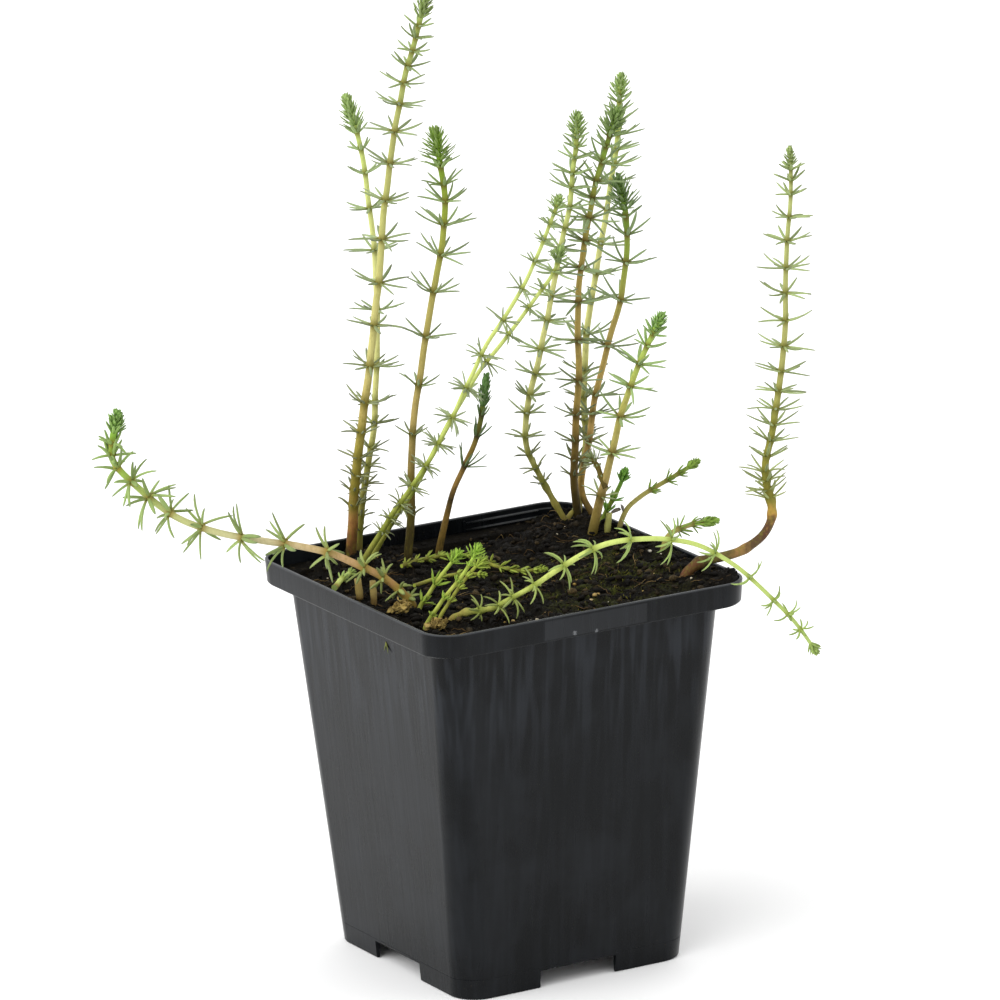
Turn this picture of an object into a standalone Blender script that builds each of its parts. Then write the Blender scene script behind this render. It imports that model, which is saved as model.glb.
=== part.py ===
"""Mare's tail (Hippuris vulgaris): a young plant rooted in a square nursery pot.

Lengths are in millimetres until a mesh is made, and MM turns them into metres.
The pot stands on z = 0. The routes and the ground are laid out about the pot's
own axis, and POT_AXIS carries that axis to its place in the part's frame, whose
origin is under the middle of the whole plant.
"""
import math
from dataclasses import dataclass

import bmesh
import bpy
import numpy as np
from mathutils import Vector

MM = 0.001
POT_AXIS = (12.7, 13.2)

# Pot: a thin square shell with a collar, a raised floor and four corner feet.
POT_HEIGHT = 98.0
RIM_HALF = 45.0
RIM_CORNER = 8.0
COLLAR_FOOT_Z = 92.0
COLLAR_HALF = 44.7
WALL_TOP_Z = 91.6
WALL_TOP_HALF = 40.1
WALL_CORNER = 7.2
BASE_HALF = 32.2
SHELL = 0.9
FLOOR_UNDER_Z = 4.6
FLOOR_TOP_Z = 5.8
NOTCH_HALF = 10.8
NOTCH_HEIGHT = 4.5
DRAIN_RADIUS = 4.5
DRAIN_OFFSET = 17.0
CORNER_STEPS = 4

# Ground: fills the pot and is heaped against the right side.
GAP = 0.3
GROUND_LEVEL = 94.5
GROUND_CELLS = 8
PIT_DEPTH = 4.0
PIT_GAP = 0.3
PIT_CLEAR = 1.2
LEDGE_CLEAR_Z = 94.3

# Leaves: each whorl stands on a short band of the stem.
BAND = 0.8
LEAF_CLEAR = 0.45
LYING_CLEAR = 0.7
BEND_TOLERANCE = 0.6
BEND_SHORTEST = 2.5
LEAF_SHORTEST = 0.5
TIP_RADIUS = 0.35
GIRTH_SHARES = (0.0, 0.35, 1.0)

# A tube's mesh starts with the corners of its two caps.
CAP_RINGS = 2


@dataclass(frozen=True)
class Mound:
    """A rise or dip of the ground: middle, reach and height."""

    x: float
    y: float
    reach: float
    rise: float


MOUNDS = (
    Mound(-20.0, 42.0, 9.0, 2.0),
    Mound(8.0, 42.0, 12.0, -0.9),
    Mound(44.0, 30.0, 15.0, 3.2),
    Mound(44.0, -4.0, 15.0, 3.0),
    Mound(40.0, -38.0, 13.0, 3.4),
    Mound(-26.0, -14.0, 12.0, 0.6),
    Mound(4.0, -20.0, 14.0, -0.5),
)


@dataclass(frozen=True)
class Stem:
    """A leafy stem: its route, thickness and rings of leaves.

    The route starts where the stem leaves the ground. The girth holds the
    radius at the foot, at a third of the way up and at the top. The rings are
    spread between two distances, one from the foot and one from the tip, and
    stand closer together at both ends than in the middle.
    """

    name: str
    look: str
    route: tuple
    girth: tuple
    rings: int
    first: float
    last: float
    leaf: float
    sides: int = 6
    planted: bool = True

    def radius(self, share: float) -> float:
        """Return the stem's radius at a share of its length."""
        return float(np.interp(share, GIRTH_SHARES, self.girth))


STEMS = (
    Stem("stem_tallest", "green_stem",
         ((-20, 39.5, 96.5), (-19.5, 38.5, 109.5), (-18.5, 36.5, 125), (-16.5, 34.5, 144),
          (-15, 32, 163.5), (-13.5, 30, 185.5), (-11.5, 27.5, 204), (-9, 25, 220.5),
          (-5, 21.5, 238.5)),
         (1.35, 0.92, 0.62), 20, 11, 1.5, 7.5),
    Stem("stem_behind_tallest", "green_stem",
         ((-16.5, 41.5, 96.5), (-15, 42, 108), (-11, 43, 125), (-8.5, 45, 140.5),
          (-7, 46.5, 159.5), (-7, 49, 180), (-8, 50.5, 194.5), (-10, 54, 207.5)),
         (0.85, 0.75, 0.6), 15, 5, 1.2, 7.0, 4),
    Stem("stem_left_middle", "green_stem",
         ((-9, 30.5, 95), (-8, 30.5, 105.5), (-7, 30.5, 126), (-5, 30, 139.5),
          (-2.5, 29, 155), (0.5, 27.5, 171.5), (1.5, 26.5, 185), (0, 27.5, 202.5)),
         (1.1, 0.9, 0.78), 14, 11, 1.2, 7.0),
    Stem("shoot_brown", "brown_stem",
         ((2, 34, 94.8), (4.2, 32, 107), (7.7, 30.5, 115.5), (11.1, 29.5, 123.5),
          (13.5, 29, 138)),
         (0.95, 0.7, 0.62), 6, 18, 1.0, 5.0, 4),
    Stem("stem_leaning_front", "green_stem",
         ((-21, 31.5, 95.8), (-16.5, 25.5, 107.5), (-10.5, 17.5, 122), (-6, 12.5, 134),
          (-0.5, 5.5, 152), (5.5, -2, 167.5), (10, -6.5, 180.5), (13, -9.5, 191.5)),
         (0.78, 0.56, 0.46), 13, 6, 1.2, 7.0),
    Stem("stem_leaning_back", "green_stem",
         ((-18, 32.5, 95.8), (-15, 29.5, 103.5), (-9.5, 25, 114.5), (-2.5, 20.5, 130),
          (4, 16, 143.5), (13, 10.5, 157), (20, 6.5, 168), (22, 5.5, 174)),
         (0.72, 0.56, 0.46), 12, 6, 1.2, 6.5, 4),
    Stem("stem_crooked", "green_stem",
         ((36, 30, 96.8), (33.5, 31.5, 102.5), (30.5, 32, 108.5), (26.5, 32, 117.5),
          (26.5, 31, 128), (29, 28.5, 142), (32.5, 25, 164.5), (35.5, 22.5, 184),
          (36.5, 20.5, 203)),
         (0.9, 0.75, 0.58), 18, 7, 1.2, 7.0),
    Stem("stem_brown", "brown_stem",
         ((40, 30.5, 97.2), (39, 30, 106.5), (39, 29, 120), (39.5, 27.5, 136),
          (39, 26.5, 153.5), (40, 24, 170.5), (41.5, 20.5, 185.5), (45, 16, 203.5)),
         (1.05, 0.82, 0.62), 15, 11, 1.2, 7.5),
    Stem("stem_pale_tall", "green_stem",
         ((42.3, 33.6, 97.6), (44, 35, 105), (46, 36, 114), (47.5, 38.5, 127),
          (49.5, 40, 140.5), (53.5, 41, 158), (57, 41, 173), (60.5, 41.5, 189.5),
          (62.5, 42.5, 205)),
         (0.9, 0.85, 0.58), 18, 8, 1.2, 7.0),
    Stem("stem_dark_tip", "green_stem",
         ((42.4, 27, 97.8), (41.7, 30, 101.3), (42, 31.8, 104.5), (42.8, 32, 108.5),
          (44, 31, 116.5), (46.5, 31, 128), (49, 29.5, 139.5), (52, 28, 151.5), (53.5, 26.5, 166), (53, 26, 175),
          (51.5, 27, 183)),
         (0.82, 0.78, 0.7), 11, 14, 1.2, 6.5, 4),
    Stem("stem_thick_foot", "brown_stem",
         ((36, 16.5, 96.8), (37, 15, 104.5), (38.5, 12, 115), (40, 8.5, 128.5),
          (42.5, 3.5, 142), (46.5, -1, 155)),
         (1.6, 0.9, 0.62), 8, 12, 1.2, 6.5),
    Stem("shoot_beside_thick_foot", "green_stem",
         ((41, 20.5, 97.3), (42, 19, 101.5), (44.5, 17, 107.5), (45.5, 16, 111.5)),
         (0.65, 0.6, 0.55), 4, 5, 1.0, 4.0, 4),
    Stem("shoot_right_upper", "green_stem",
         ((42.6, 14.5, 97.8), (46.4, 17, 101.3), (51.5, 19, 103), (56.5, 20, 104.5),
          (62, 19, 107.1), (68.2, 18.5, 109.9)),
         (0.68, 0.62, 0.55), 6, 12, 1.0, 4.5, 4),
    Stem("shoot_right_lower", "green_stem",
         ((41.4, -8, 97.4), (43.4, -7, 100), (47, -5.5, 100.9), (52.5, -4, 101.2),
          (59, -4.5, 101.2)),
         (0.7, 0.68, 0.6), 5, 5, 1.0, 4.5, 4),
    Stem("stem_arching", "pale_stem",
         ((-29.7, -24.5, 94.7), (-27, -26.5, 96.9), (-24, -29, 97.7), (-20.5, -32, 99),
          (-17.3, -35.5, 101.8), (-14, -39, 105), (-8.5, -42.5, 109.5),
          (-1.5, -49, 115), (6.5, -55, 117), (16, -62, 116), (24.5, -68, 110.5),
          (32, -74, 102), (37.5, -77, 94.5), (41, -79, 88.5)),
         (0.72, 0.76, 0.46), 12, 10, 1.2, 7.5),
    Stem("stem_hooked", "brown_stem",
         ((33.8, -30.5, 97), (35.8, -31, 99.2), (39, -32, 100.8), (44.2, -33.5, 101.6),
          (48.5, -34.5, 102.7), (53, -35.5, 105.5), (55.8, -35.5, 109), (56, -35.5, 113),
          (55, -35, 118.5), (55.2, -34.5, 123.8), (57.5, -34.5, 132.5), (60.5, -35, 152.5),
          (61.5, -35.5, 175), (62.5, -36, 190.5), (62.5, -36, 202)),
         (1.25, 0.88, 0.45), 18, 36, 1.2, 8.0),
    Stem("stem_trailing", "pale_stem",
         ((-29.5, -6.5, 95), (-34, -4, 100.5), (-39.5, 0.5, 104.5), (-47, 6, 108.5),
          (-59.5, 15, 111), (-71.5, 23, 114.5), (-79.5, 29, 120), (-87.5, 35, 129.5),
          (-88.5, 35.5, 135), (-87, 34.5, 143)),
         (1.0, 0.85, 0.8), 14, 6, 1.2, 8.0),
    Stem("shoot_front_long", "green_stem",
         ((-36, -24, 94.7), (-32.7, -26, 100.5), (-29.2, -28, 105.7), (-26.6, -30, 110.6),
          (-24.9, -31, 114.4)),
         (0.68, 0.6, 0.5), 5, 5, 1.0, 4.5, 4),
    Stem("shoot_front_short", "green_stem",
         ((-30.7, -21.5, 95), (-27.4, -21, 98.4), (-23.6, -20.5, 102.3), (-19.8, -20, 105.6),
          (-16.6, -19.5, 107.1)),
         (0.62, 0.55, 0.5), 5, 5, 1.0, 4.0, 4),
    Stem("shoot_front_vivid", "green_stem",
         ((-30.5, -11.5, 95.3), (-28.2, -12.5, 99), (-26.1, -13.5, 102.2), (-23.5, -14.5, 105.5),
          (-20.9, -15, 108.5)),
         (0.6, 0.52, 0.45), 4, 6, 1.0, 4.0, 4),
    Stem("runner_back", "green_stem",
         ((-16, 22, 0), (-10, 24, 0), (-1.5, 25.5, 0), (5, 22.5, 0)),
         (0.5, 0.45, 0.4), 4, 4, 1.0, 3.0, 4, False),
    Stem("runner_middle", "green_stem",
         ((4.5, 16, 0), (3, 9, 0), (7, 3.5, 0), (12, -1, 0)),
         (0.5, 0.45, 0.4), 4, 4, 1.0, 3.0, 4, False),
    Stem("runner_brown", "brown_stem",
         ((-22.5, 4.5, 0), (-16, 7.5, 0), (-8, 7, 0), (-3, 3, 0)),
         (0.5, 0.45, 0.4), 2, 6, 1.0, 2.4, 4, False),
    Stem("runner_left", "pale_stem",
         ((-37.5, 18, 0), (-33, 22.5, 0), (-27.5, 26, 0)),
         (0.8, 0.7, 0.6), 2, 5, 1.0, 2.6, 4, False),
)

# The small branch that leaves the thick-footed stem on its left.
BRANCH_ROUTE = ((37.6, 12.4, 109.2), (37.2, 13.8, 111.8), (36.8, 15, 114.6), (35.4, 16.3, 116.6))
BRANCH_RADIUS = 0.65

# Bare stubs: dead or broken stems, each a name, its foot and its top, and its radius.
STUBS = (
    ("stub_left_front", (-36.5, 7, 94.6), (-35.5, 9.5, 98.6), 0.9),
    ("stub_left_back", (-34.5, 3.5, 94.6), (-32.5, 7.5, 98.0), 0.8),
    ("stub_beside_thick_foot", (38.8, 14.2, 97.2), (39.8, 14.6, 101.8), 0.8),
)

# Withered leaves lying on the ground: a name, the middle and the three half sizes.
CLUMPS = (
    ("withered_leaves", (-35.8, -12.4), (2.7, 2.0, 1.4)),
    ("withered_leaf_front", (-35.4, -28.3), (2.6, 1.3, 1.0)),
)

COLOURS = {
    "black_plastic": ((0.022, 0.023, 0.025, 1.0), 0.45),
    "growing_medium": ((0.018, 0.012, 0.008, 1.0), 0.95),
    "green_stem": ((0.42, 0.48, 0.13, 1.0), 0.5),
    "pale_stem": ((0.55, 0.60, 0.20, 1.0), 0.5),
    "brown_stem": ((0.30, 0.19, 0.07, 1.0), 0.55),
    "withered": ((0.35, 0.25, 0.12, 1.0), 0.8),
}


def clear_scene() -> None:
    """Remove every object that the file starts with."""
    for obj in list(bpy.data.objects):
        bpy.data.objects.remove(obj, do_unlink=True)


def new_collection(name: str) -> bpy.types.Collection:
    """Add a collection to the scene and return it."""
    collection = bpy.data.collections.new(name)
    bpy.context.scene.collection.children.link(collection)
    return collection


def material(name: str) -> bpy.types.Material:
    """Return the named material, made on its first use."""
    found = bpy.data.materials.get(name)
    if found:
        return found
    colour, roughness = COLOURS[name]
    made = bpy.data.materials.new(name)
    made.use_nodes = True
    shader = made.node_tree.nodes["Principled BSDF"]
    shader.inputs["Base Color"].default_value = colour
    shader.inputs["Roughness"].default_value = roughness
    shader.inputs["Metallic"].default_value = 0.0
    return made


class Builder:
    """Keeps the two collections and the empty that every part hangs from."""

    def __init__(self) -> None:
        self.parts = new_collection("mares_tail")
        self.cutters = new_collection("cutters")
        self.pits = bpy.data.collections.new("pits")
        self.cutters.children.link(self.pits)
        self.axis = bpy.data.objects.new("pot_axis", None)
        self.axis.location = (POT_AXIS[0] * MM, POT_AXIS[1] * MM, 0.0)
        self.parts.objects.link(self.axis)

    def part(self, name: str, mesh: bpy.types.Mesh, look: str) -> bpy.types.Object:
        """Add a mesh as a named sub-part with its material."""
        obj = bpy.data.objects.new(name, mesh)
        mesh.materials.clear()
        mesh.materials.append(material(look))
        obj.parent = self.axis
        self.parts.objects.link(obj)
        return obj

    def cutter(self, name: str, mesh: bpy.types.Mesh) -> bpy.types.Object:
        """Add a mesh as a hidden cutter."""
        obj = bpy.data.objects.new(name, mesh)
        obj.parent = self.axis
        obj.hide_render = True
        obj.display_type = "WIRE"
        self.cutters.objects.link(obj)
        return obj

    def pit(self, name: str, mesh: bpy.types.Mesh) -> None:
        """Add a mesh as one of the pits that are cut from the ground."""
        pit = self.cutter(f"pit_{name}", mesh)
        self.cutters.objects.unlink(pit)
        self.pits.objects.link(pit)


def cut(target: bpy.types.Object, cutter: bpy.types.Object, how: str = "DIFFERENCE") -> None:
    """Put a Boolean with an exact solver on the target."""
    modifier = target.modifiers.new(cutter.name, "BOOLEAN")
    modifier.operation = how
    modifier.solver = "EXACT"
    modifier.object = cutter


def rounded_square(half: float, corner: float, z: float) -> list:
    """Return the corners of a rounded square, counterclockwise from +X."""
    points = []
    middle = half - corner
    for quarter in range(4):
        centre = Vector((middle, middle, 0.0))
        for step in range(CORNER_STEPS + 1):
            angle = 0.5 * math.pi * step / CORNER_STEPS
            spoke = Vector((math.cos(angle), math.sin(angle), 0.0)) * corner
            point = centre + spoke
            turn = 0.5 * math.pi * quarter
            points.append(Vector((
                point.x * math.cos(turn) - point.y * math.sin(turn),
                point.x * math.sin(turn) + point.y * math.cos(turn),
                z)))
    return points


def loft(name: str, sections: list) -> bpy.types.Mesh:
    """Join a stack of equal-sized sections and cap both ends."""
    bm = bmesh.new()
    rings = [[bm.verts.new(point * MM) for point in section] for section in sections]
    for lower, upper in zip(rings, rings[1:]):
        for i in range(len(lower)):
            j = (i + 1) % len(lower)
            bm.faces.new((lower[i], lower[j], upper[j], upper[i]))
    bm.faces.new(list(reversed(rings[0])))
    bm.faces.new(rings[-1])
    bmesh.ops.recalc_face_normals(bm, faces=bm.faces)
    mesh = bpy.data.meshes.new(name)
    bm.to_mesh(mesh)
    bm.free()
    return mesh


def box(name: str, low: tuple, high: tuple) -> bpy.types.Mesh:
    """Return a box mesh between two corners."""
    bm = bmesh.new()
    bmesh.ops.create_cube(bm, size=1.0)
    size = Vector(high) - Vector(low)
    middle = (Vector(high) + Vector(low)) * 0.5
    bmesh.ops.scale(bm, vec=size * MM, verts=bm.verts)
    bmesh.ops.translate(bm, vec=middle * MM, verts=bm.verts)
    mesh = bpy.data.meshes.new(name)
    bm.to_mesh(mesh)
    bm.free()
    return mesh


def cone(name: str, foot: tuple, depth: float, low: float, high: float) -> bpy.types.Mesh:
    """Return an upright cone frustum that starts at a foot point."""
    bm = bmesh.new()
    bmesh.ops.create_cone(bm, cap_ends=True, segments=8, radius1=low * MM,
                          radius2=high * MM, depth=depth * MM)
    bmesh.ops.translate(bm, vec=Vector((foot[0], foot[1], foot[2] + 0.5 * depth)) * MM,
                        verts=bm.verts)
    mesh = bpy.data.meshes.new(name)
    bm.to_mesh(mesh)
    bm.free()
    return mesh


def inside_sections(gap: float, top: float) -> list:
    """Return the pot's inner sections, drawn in by a gap, up to a height."""
    inner_base = BASE_HALF - SHELL - gap
    inner_wall = WALL_TOP_HALF - SHELL - gap
    inner_collar = COLLAR_HALF - SHELL - gap
    inner_rim = RIM_HALF - SHELL - gap
    corner = WALL_CORNER - SHELL - gap
    rim_corner = RIM_CORNER - SHELL - gap
    return [
        rounded_square(inner_base, corner, FLOOR_TOP_Z + gap),
        rounded_square(inner_wall, corner, COLLAR_FOOT_Z + SHELL + gap),
        rounded_square(inner_collar, rim_corner, COLLAR_FOOT_Z + SHELL + gap + 0.3),
        rounded_square(inner_rim, rim_corner, top),
    ]


def build_pot(builder: Builder) -> None:
    """Make the pot: a lofted shell with foot notches and drain holes."""
    under_half = BASE_HALF - SHELL
    outside = [
        rounded_square(BASE_HALF, WALL_CORNER, 0.0),
        rounded_square(WALL_TOP_HALF, WALL_CORNER, WALL_TOP_Z),
        rounded_square(COLLAR_HALF, RIM_CORNER, COLLAR_FOOT_Z),
        rounded_square(RIM_HALF, RIM_CORNER, POT_HEIGHT),
    ]
    inside = list(reversed(inside_sections(0.0, POT_HEIGHT)))
    pot = builder.part("pot", loft("pot", outside + inside), "black_plastic")
    corner = WALL_CORNER - SHELL
    recess = [
        rounded_square(under_half, corner, -1.0),
        rounded_square(under_half, corner, FLOOR_UNDER_Z),
    ]
    cut(pot, builder.cutter("under_recess", loft("under_recess", recess)))
    reach = RIM_HALF
    along_x = box("notches_x", (-reach, -NOTCH_HALF, -1.0), (reach, NOTCH_HALF, NOTCH_HEIGHT))
    along_y = box("notches_y", (-NOTCH_HALF, -reach, -1.0), (NOTCH_HALF, reach, NOTCH_HEIGHT))
    cut(pot, builder.cutter("notches_x", along_x))
    cut(pot, builder.cutter("notches_y", along_y))
    spots = [(0.0, 0.0)]
    spots += [(sx * DRAIN_OFFSET, sy * DRAIN_OFFSET) for sx in (-1, 1) for sy in (-1, 1)]
    for number, (x, y) in enumerate(spots):
        hole = cone(f"drain_{number}", (x, y, FLOOR_UNDER_Z - 1.0), 4.0,
                    DRAIN_RADIUS, DRAIN_RADIUS)
        cut(pot, builder.cutter(f"drain_{number}", hole))


def ground_height(x: float, y: float) -> float:
    """Return the ground's height at a place in the pot."""
    height = GROUND_LEVEL
    for mound in MOUNDS:
        away = (x - mound.x) ** 2 + (y - mound.y) ** 2
        height += mound.rise * math.exp(-away / (2.0 * mound.reach ** 2))
    ripple = math.sin(0.55 * x + 0.3 * y) * math.cos(0.47 * y - 0.2 * x)
    return height + 0.25 * ripple


def build_ground(builder: Builder) -> None:
    """Make the growing medium: a bumpy block trimmed to the pot, with its pits."""
    bm = bmesh.new()
    half = RIM_HALF + 2.0
    bmesh.ops.create_grid(bm, x_segments=GROUND_CELLS, y_segments=GROUND_CELLS,
                          size=half * MM)
    for vert in bm.verts:
        vert.co.z = ground_height(vert.co.x / MM, vert.co.y / MM) * MM
    walls = bmesh.ops.extrude_face_region(bm, geom=list(bm.faces))
    lowered = [item for item in walls["geom"] if isinstance(item, bmesh.types.BMVert)]
    for vert in lowered:
        vert.co.z = 0.0
    bmesh.ops.recalc_face_normals(bm, faces=bm.faces)
    flat = [face for face in bm.faces if all(abs(v.co.z) < 1e-6 for v in face.verts)]
    bmesh.ops.dissolve_faces(bm, faces=flat)
    bmesh.ops.triangulate(bm, faces=[face for face in bm.faces if len(face.verts) == 4])
    bmesh.ops.recalc_face_normals(bm, faces=bm.faces)
    mesh = bpy.data.meshes.new("growing_medium")
    bm.to_mesh(mesh)
    bm.free()
    ground = builder.part("growing_medium", mesh, "growing_medium")
    inside = loft("pot_inside", inside_sections(GAP, POT_HEIGHT + 4.0))
    cut(ground, builder.cutter("pot_inside", inside), "INTERSECT")
    pits = ground.modifiers.new("pits", "BOOLEAN")
    pits.operation = "DIFFERENCE"
    pits.solver = "EXACT"
    pits.use_self = True
    pits.operand_type = "COLLECTION"
    pits.collection = builder.pits


def smooth_route(route: tuple) -> np.ndarray:
    """Return closely spaced points on a smooth curve through the route."""
    knots = [np.array(point, float) for point in route]
    knots = [2.0 * knots[0] - knots[1]] + knots + [2.0 * knots[-1] - knots[-2]]
    points = []
    steps = 24
    for a, b, c, d in zip(knots, knots[1:], knots[2:], knots[3:]):
        for step in range(steps):
            t = step / steps
            points.append(0.5 * (2.0 * b + (c - a) * t
                                 + (2.0 * a - 5.0 * b + 4.0 * c - d) * t * t
                                 + (3.0 * b - a - 3.0 * c + d) * t ** 3))
    points.append(knots[-2])
    return np.array(points)


class Path:
    """A smooth curve that can be read by its length."""

    def __init__(self, route: tuple) -> None:
        self.points = smooth_route(route)
        steps = np.linalg.norm(np.diff(self.points, axis=0), axis=1)
        self.lengths = np.concatenate(([0.0], np.cumsum(steps)))
        self.length = float(self.lengths[-1])

    def at(self, distance: float) -> np.ndarray:
        """Return the point at a distance from the start."""
        return np.array([np.interp(distance, self.lengths, self.points[:, k])
                         for k in range(3)])

    def direction(self, distance: float) -> np.ndarray:
        """Return the unit direction at a distance from the start."""
        ahead = self.at(min(distance + 0.5, self.length))
        behind = self.at(max(distance - 0.5, 0.0))
        way = ahead - behind
        return way / np.linalg.norm(way)


def below(foot: tuple) -> tuple:
    """Return the buried end of a stem, which stays above the collar's ledge."""
    depth = PIT_DEPTH
    if max(abs(foot[0]), abs(foot[1])) > WALL_TOP_HALF - 4.0:
        depth = foot[2] - LEDGE_CLEAR_Z
    return (foot[0], foot[1], foot[2] - depth)


def laid_route(stem: Stem) -> tuple:
    """Return a stem's route, with its buried foot or its lie on the ground."""
    if stem.planted:
        return (below(stem.route[0]),) + stem.route
    raised = []
    for x, y, _ in stem.route:
        raised.append((x, y, ground_height(x, y) + stem.girth[0] + LYING_CLEAR))
    return tuple(raised)


def ring_distances(stem: Stem, path: Path) -> list:
    """Return where the leaf rings stand, measured along the path."""
    buried = stem.route[0][2] - laid_route(stem)[0][2] if stem.planted else 0.0
    start = buried + stem.first
    end = path.length - stem.last
    weights = [0.32 + math.sin(math.pi * (i + 0.5) / (stem.rings - 1))
               for i in range(stem.rings - 1)]
    total = sum(weights)
    distances = [start]
    for weight in weights:
        distances.append(distances[-1] + (end - start) * weight / total)
    return distances


def tube_mesh(name: str, points: list, radii: list, tilts: list, sides: int) -> bpy.types.Mesh:
    """Sweep a round section along points, as a curve with filled caps."""
    curve = bpy.data.curves.new(name, "CURVE")
    curve.dimensions = "3D"
    curve.bevel_depth = MM
    curve.bevel_resolution = (sides - 4) // 2
    curve.use_fill_caps = True
    curve.twist_mode = "MINIMUM"
    spline = curve.splines.new("POLY")
    spline.points.add(len(points) - 1)
    for target, point, radius, tilt in zip(spline.points, points, radii, tilts):
        target.co = (point[0] * MM, point[1] * MM, point[2] * MM, 1.0)
        target.radius = radius
        target.tilt = tilt
    obj = bpy.data.objects.new(name, curve)
    bpy.context.scene.collection.objects.link(obj)
    depsgraph = bpy.context.evaluated_depsgraph_get()
    mesh = bpy.data.meshes.new_from_object(obj.evaluated_get(depsgraph))
    bpy.data.objects.remove(obj, do_unlink=True)
    bpy.data.curves.remove(curve)
    return mesh


def segment_gaps(start: np.ndarray, end: np.ndarray, others: np.ndarray) -> np.ndarray:
    """Return the gap between one segment and each of many others."""
    steps = np.linspace(0.0, 1.0, 9)[:, None]
    samples = start + (end - start) * steps
    low = others[:, 0]
    way = others[:, 1] - low
    square = np.maximum((way ** 2).sum(1), 1e-9)
    best = np.full(len(others), np.inf)
    for sample in samples:
        along = np.clip(((sample - low) * way).sum(1) / square, 0.0, 1.0)
        near = low + way * along[:, None]
        gap = np.linalg.norm(sample - near, axis=1) - others[:, 2, 0]
        best = np.minimum(best, gap)
    return best


class Thicket:
    """Knows where stems and leaves already are, so that new leaves keep clear."""

    def __init__(self) -> None:
        self.items = []
        self.owners = []

    def add(self, owner: str, start: np.ndarray, end: np.ndarray, radius: float) -> None:
        """Remember one straight piece of a stem or a leaf."""
        self.items.append(np.array([start, end, (radius, 0.0, 0.0)]))
        self.owners.append(owner)

    def clear_of_others(self, owner: str, start: np.ndarray, end: np.ndarray) -> bool:
        """Tell whether a leaf keeps its distance from all other pieces."""
        everything = np.array(self.items)
        mine = np.array([name == owner for name in self.owners])
        gaps = segment_gaps(start, end, everything[~mine])
        return bool(gaps.min() > LEAF_CLEAR)


def clear_of_pot(start: np.ndarray, end: np.ndarray) -> bool:
    """Tell whether a leaf stays out of the ground and the pot's shell."""
    for t in (0.3, 0.6, 0.8, 1.0):
        x, y, z = start + (end - start) * t
        widest = max(abs(x), abs(y))
        if widest < RIM_HALF + 0.8 and z < ground_height(x, y) + 0.7:
            return False
        if RIM_HALF - SHELL - 1.0 < widest < RIM_HALF + 0.8 and z < POT_HEIGHT + 0.7:
            return False
    return True


def leaf_size(stem: Stem, share: float) -> tuple:
    """Return a leaf's length and its rise in degrees at a share of the stem."""
    growth = 0.5 + 0.5 * min(1.0, share / 0.3)
    shrink = 1.0 - 0.5 * max(0.0, (share - 0.8) / 0.2)
    rise = 22.0 + 10.0 * share
    if share > 0.8:
        rise += 35.0 * (share - 0.8) / 0.2
    return stem.leaf * growth * shrink, rise


def grow_leaf(thicket: Thicket, stem: Stem, base: np.ndarray, out: np.ndarray,
              axis: np.ndarray, share: float) -> np.ndarray:
    """Return the tip of one leaf, turned or shortened until it is clear."""
    length, rise = leaf_size(stem, share)
    best = base + out * LEAF_SHORTEST
    reached = 0.0
    for turn in (0.0, 14.0, -14.0, 28.0, -26.0):
        angle = math.radians(min(rise + turn, 78.0))
        way = out * math.cos(angle) + axis * math.sin(angle)
        for part in (1.0, 0.8, 0.62, 0.46, 0.34):
            tip = base + way * length * part
            if length * part <= reached:
                break
            if clear_of_pot(base, tip) and thicket.clear_of_others(stem.name, base, tip):
                best = tip
                reached = length * part
                break
        if reached >= 0.8 * length:
            break
    return best


@dataclass
class Grown:
    """A stem's tube before its leaves: the mesh, its path and its rings."""

    stem: Stem
    path: Path
    points: list
    radii: list
    distances: list
    bands: list
    mesh: bpy.types.Mesh


def bend_stops(path: Path, low: float, high: float) -> list:
    """Return the extra stops that keep the tube on a bent path."""
    middle = 0.5 * (low + high)
    start = path.at(low)
    way = path.at(high) - start
    marks = [low + (high - low) * share for share in (0.25, 0.5, 0.75)]
    spokes = [np.cross(path.at(mark) - start, way) for mark in marks]
    bow = max(np.linalg.norm(spoke) for spoke in spokes) / np.linalg.norm(way)
    if bow < BEND_TOLERANCE or high - low < 2.0 * BEND_SHORTEST:
        return []
    return bend_stops(path, low, middle) + [middle] + bend_stops(path, middle, high)


def grow_tube(stem: Stem) -> Grown:
    """Make a stem's tube with two close sections at each ring of leaves."""
    path = Path(laid_route(stem))
    distances = ring_distances(stem, path)
    stops = [0.0]
    bands = []
    for distance in distances:
        stops += bend_stops(path, stops[-1], distance - 0.5 * BAND)
        bands.append(len(stops))
        stops += [distance - 0.5 * BAND, distance + 0.5 * BAND]
    stops.append(path.length)
    points = [path.at(stop) for stop in stops]
    radii = [stem.radius(stop / path.length) for stop in stops]
    radii[-1] = TIP_RADIUS
    tilts = []
    half_turn = math.pi / stem.sides
    for index in range(len(stops)):
        passed = sum(1 for band in bands if index >= band)
        tilts.append(half_turn * (passed % 2))
    mesh = tube_mesh(stem.name, points, radii, tilts, stem.sides)
    return Grown(stem, path, points, radii, distances, bands, mesh)


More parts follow.
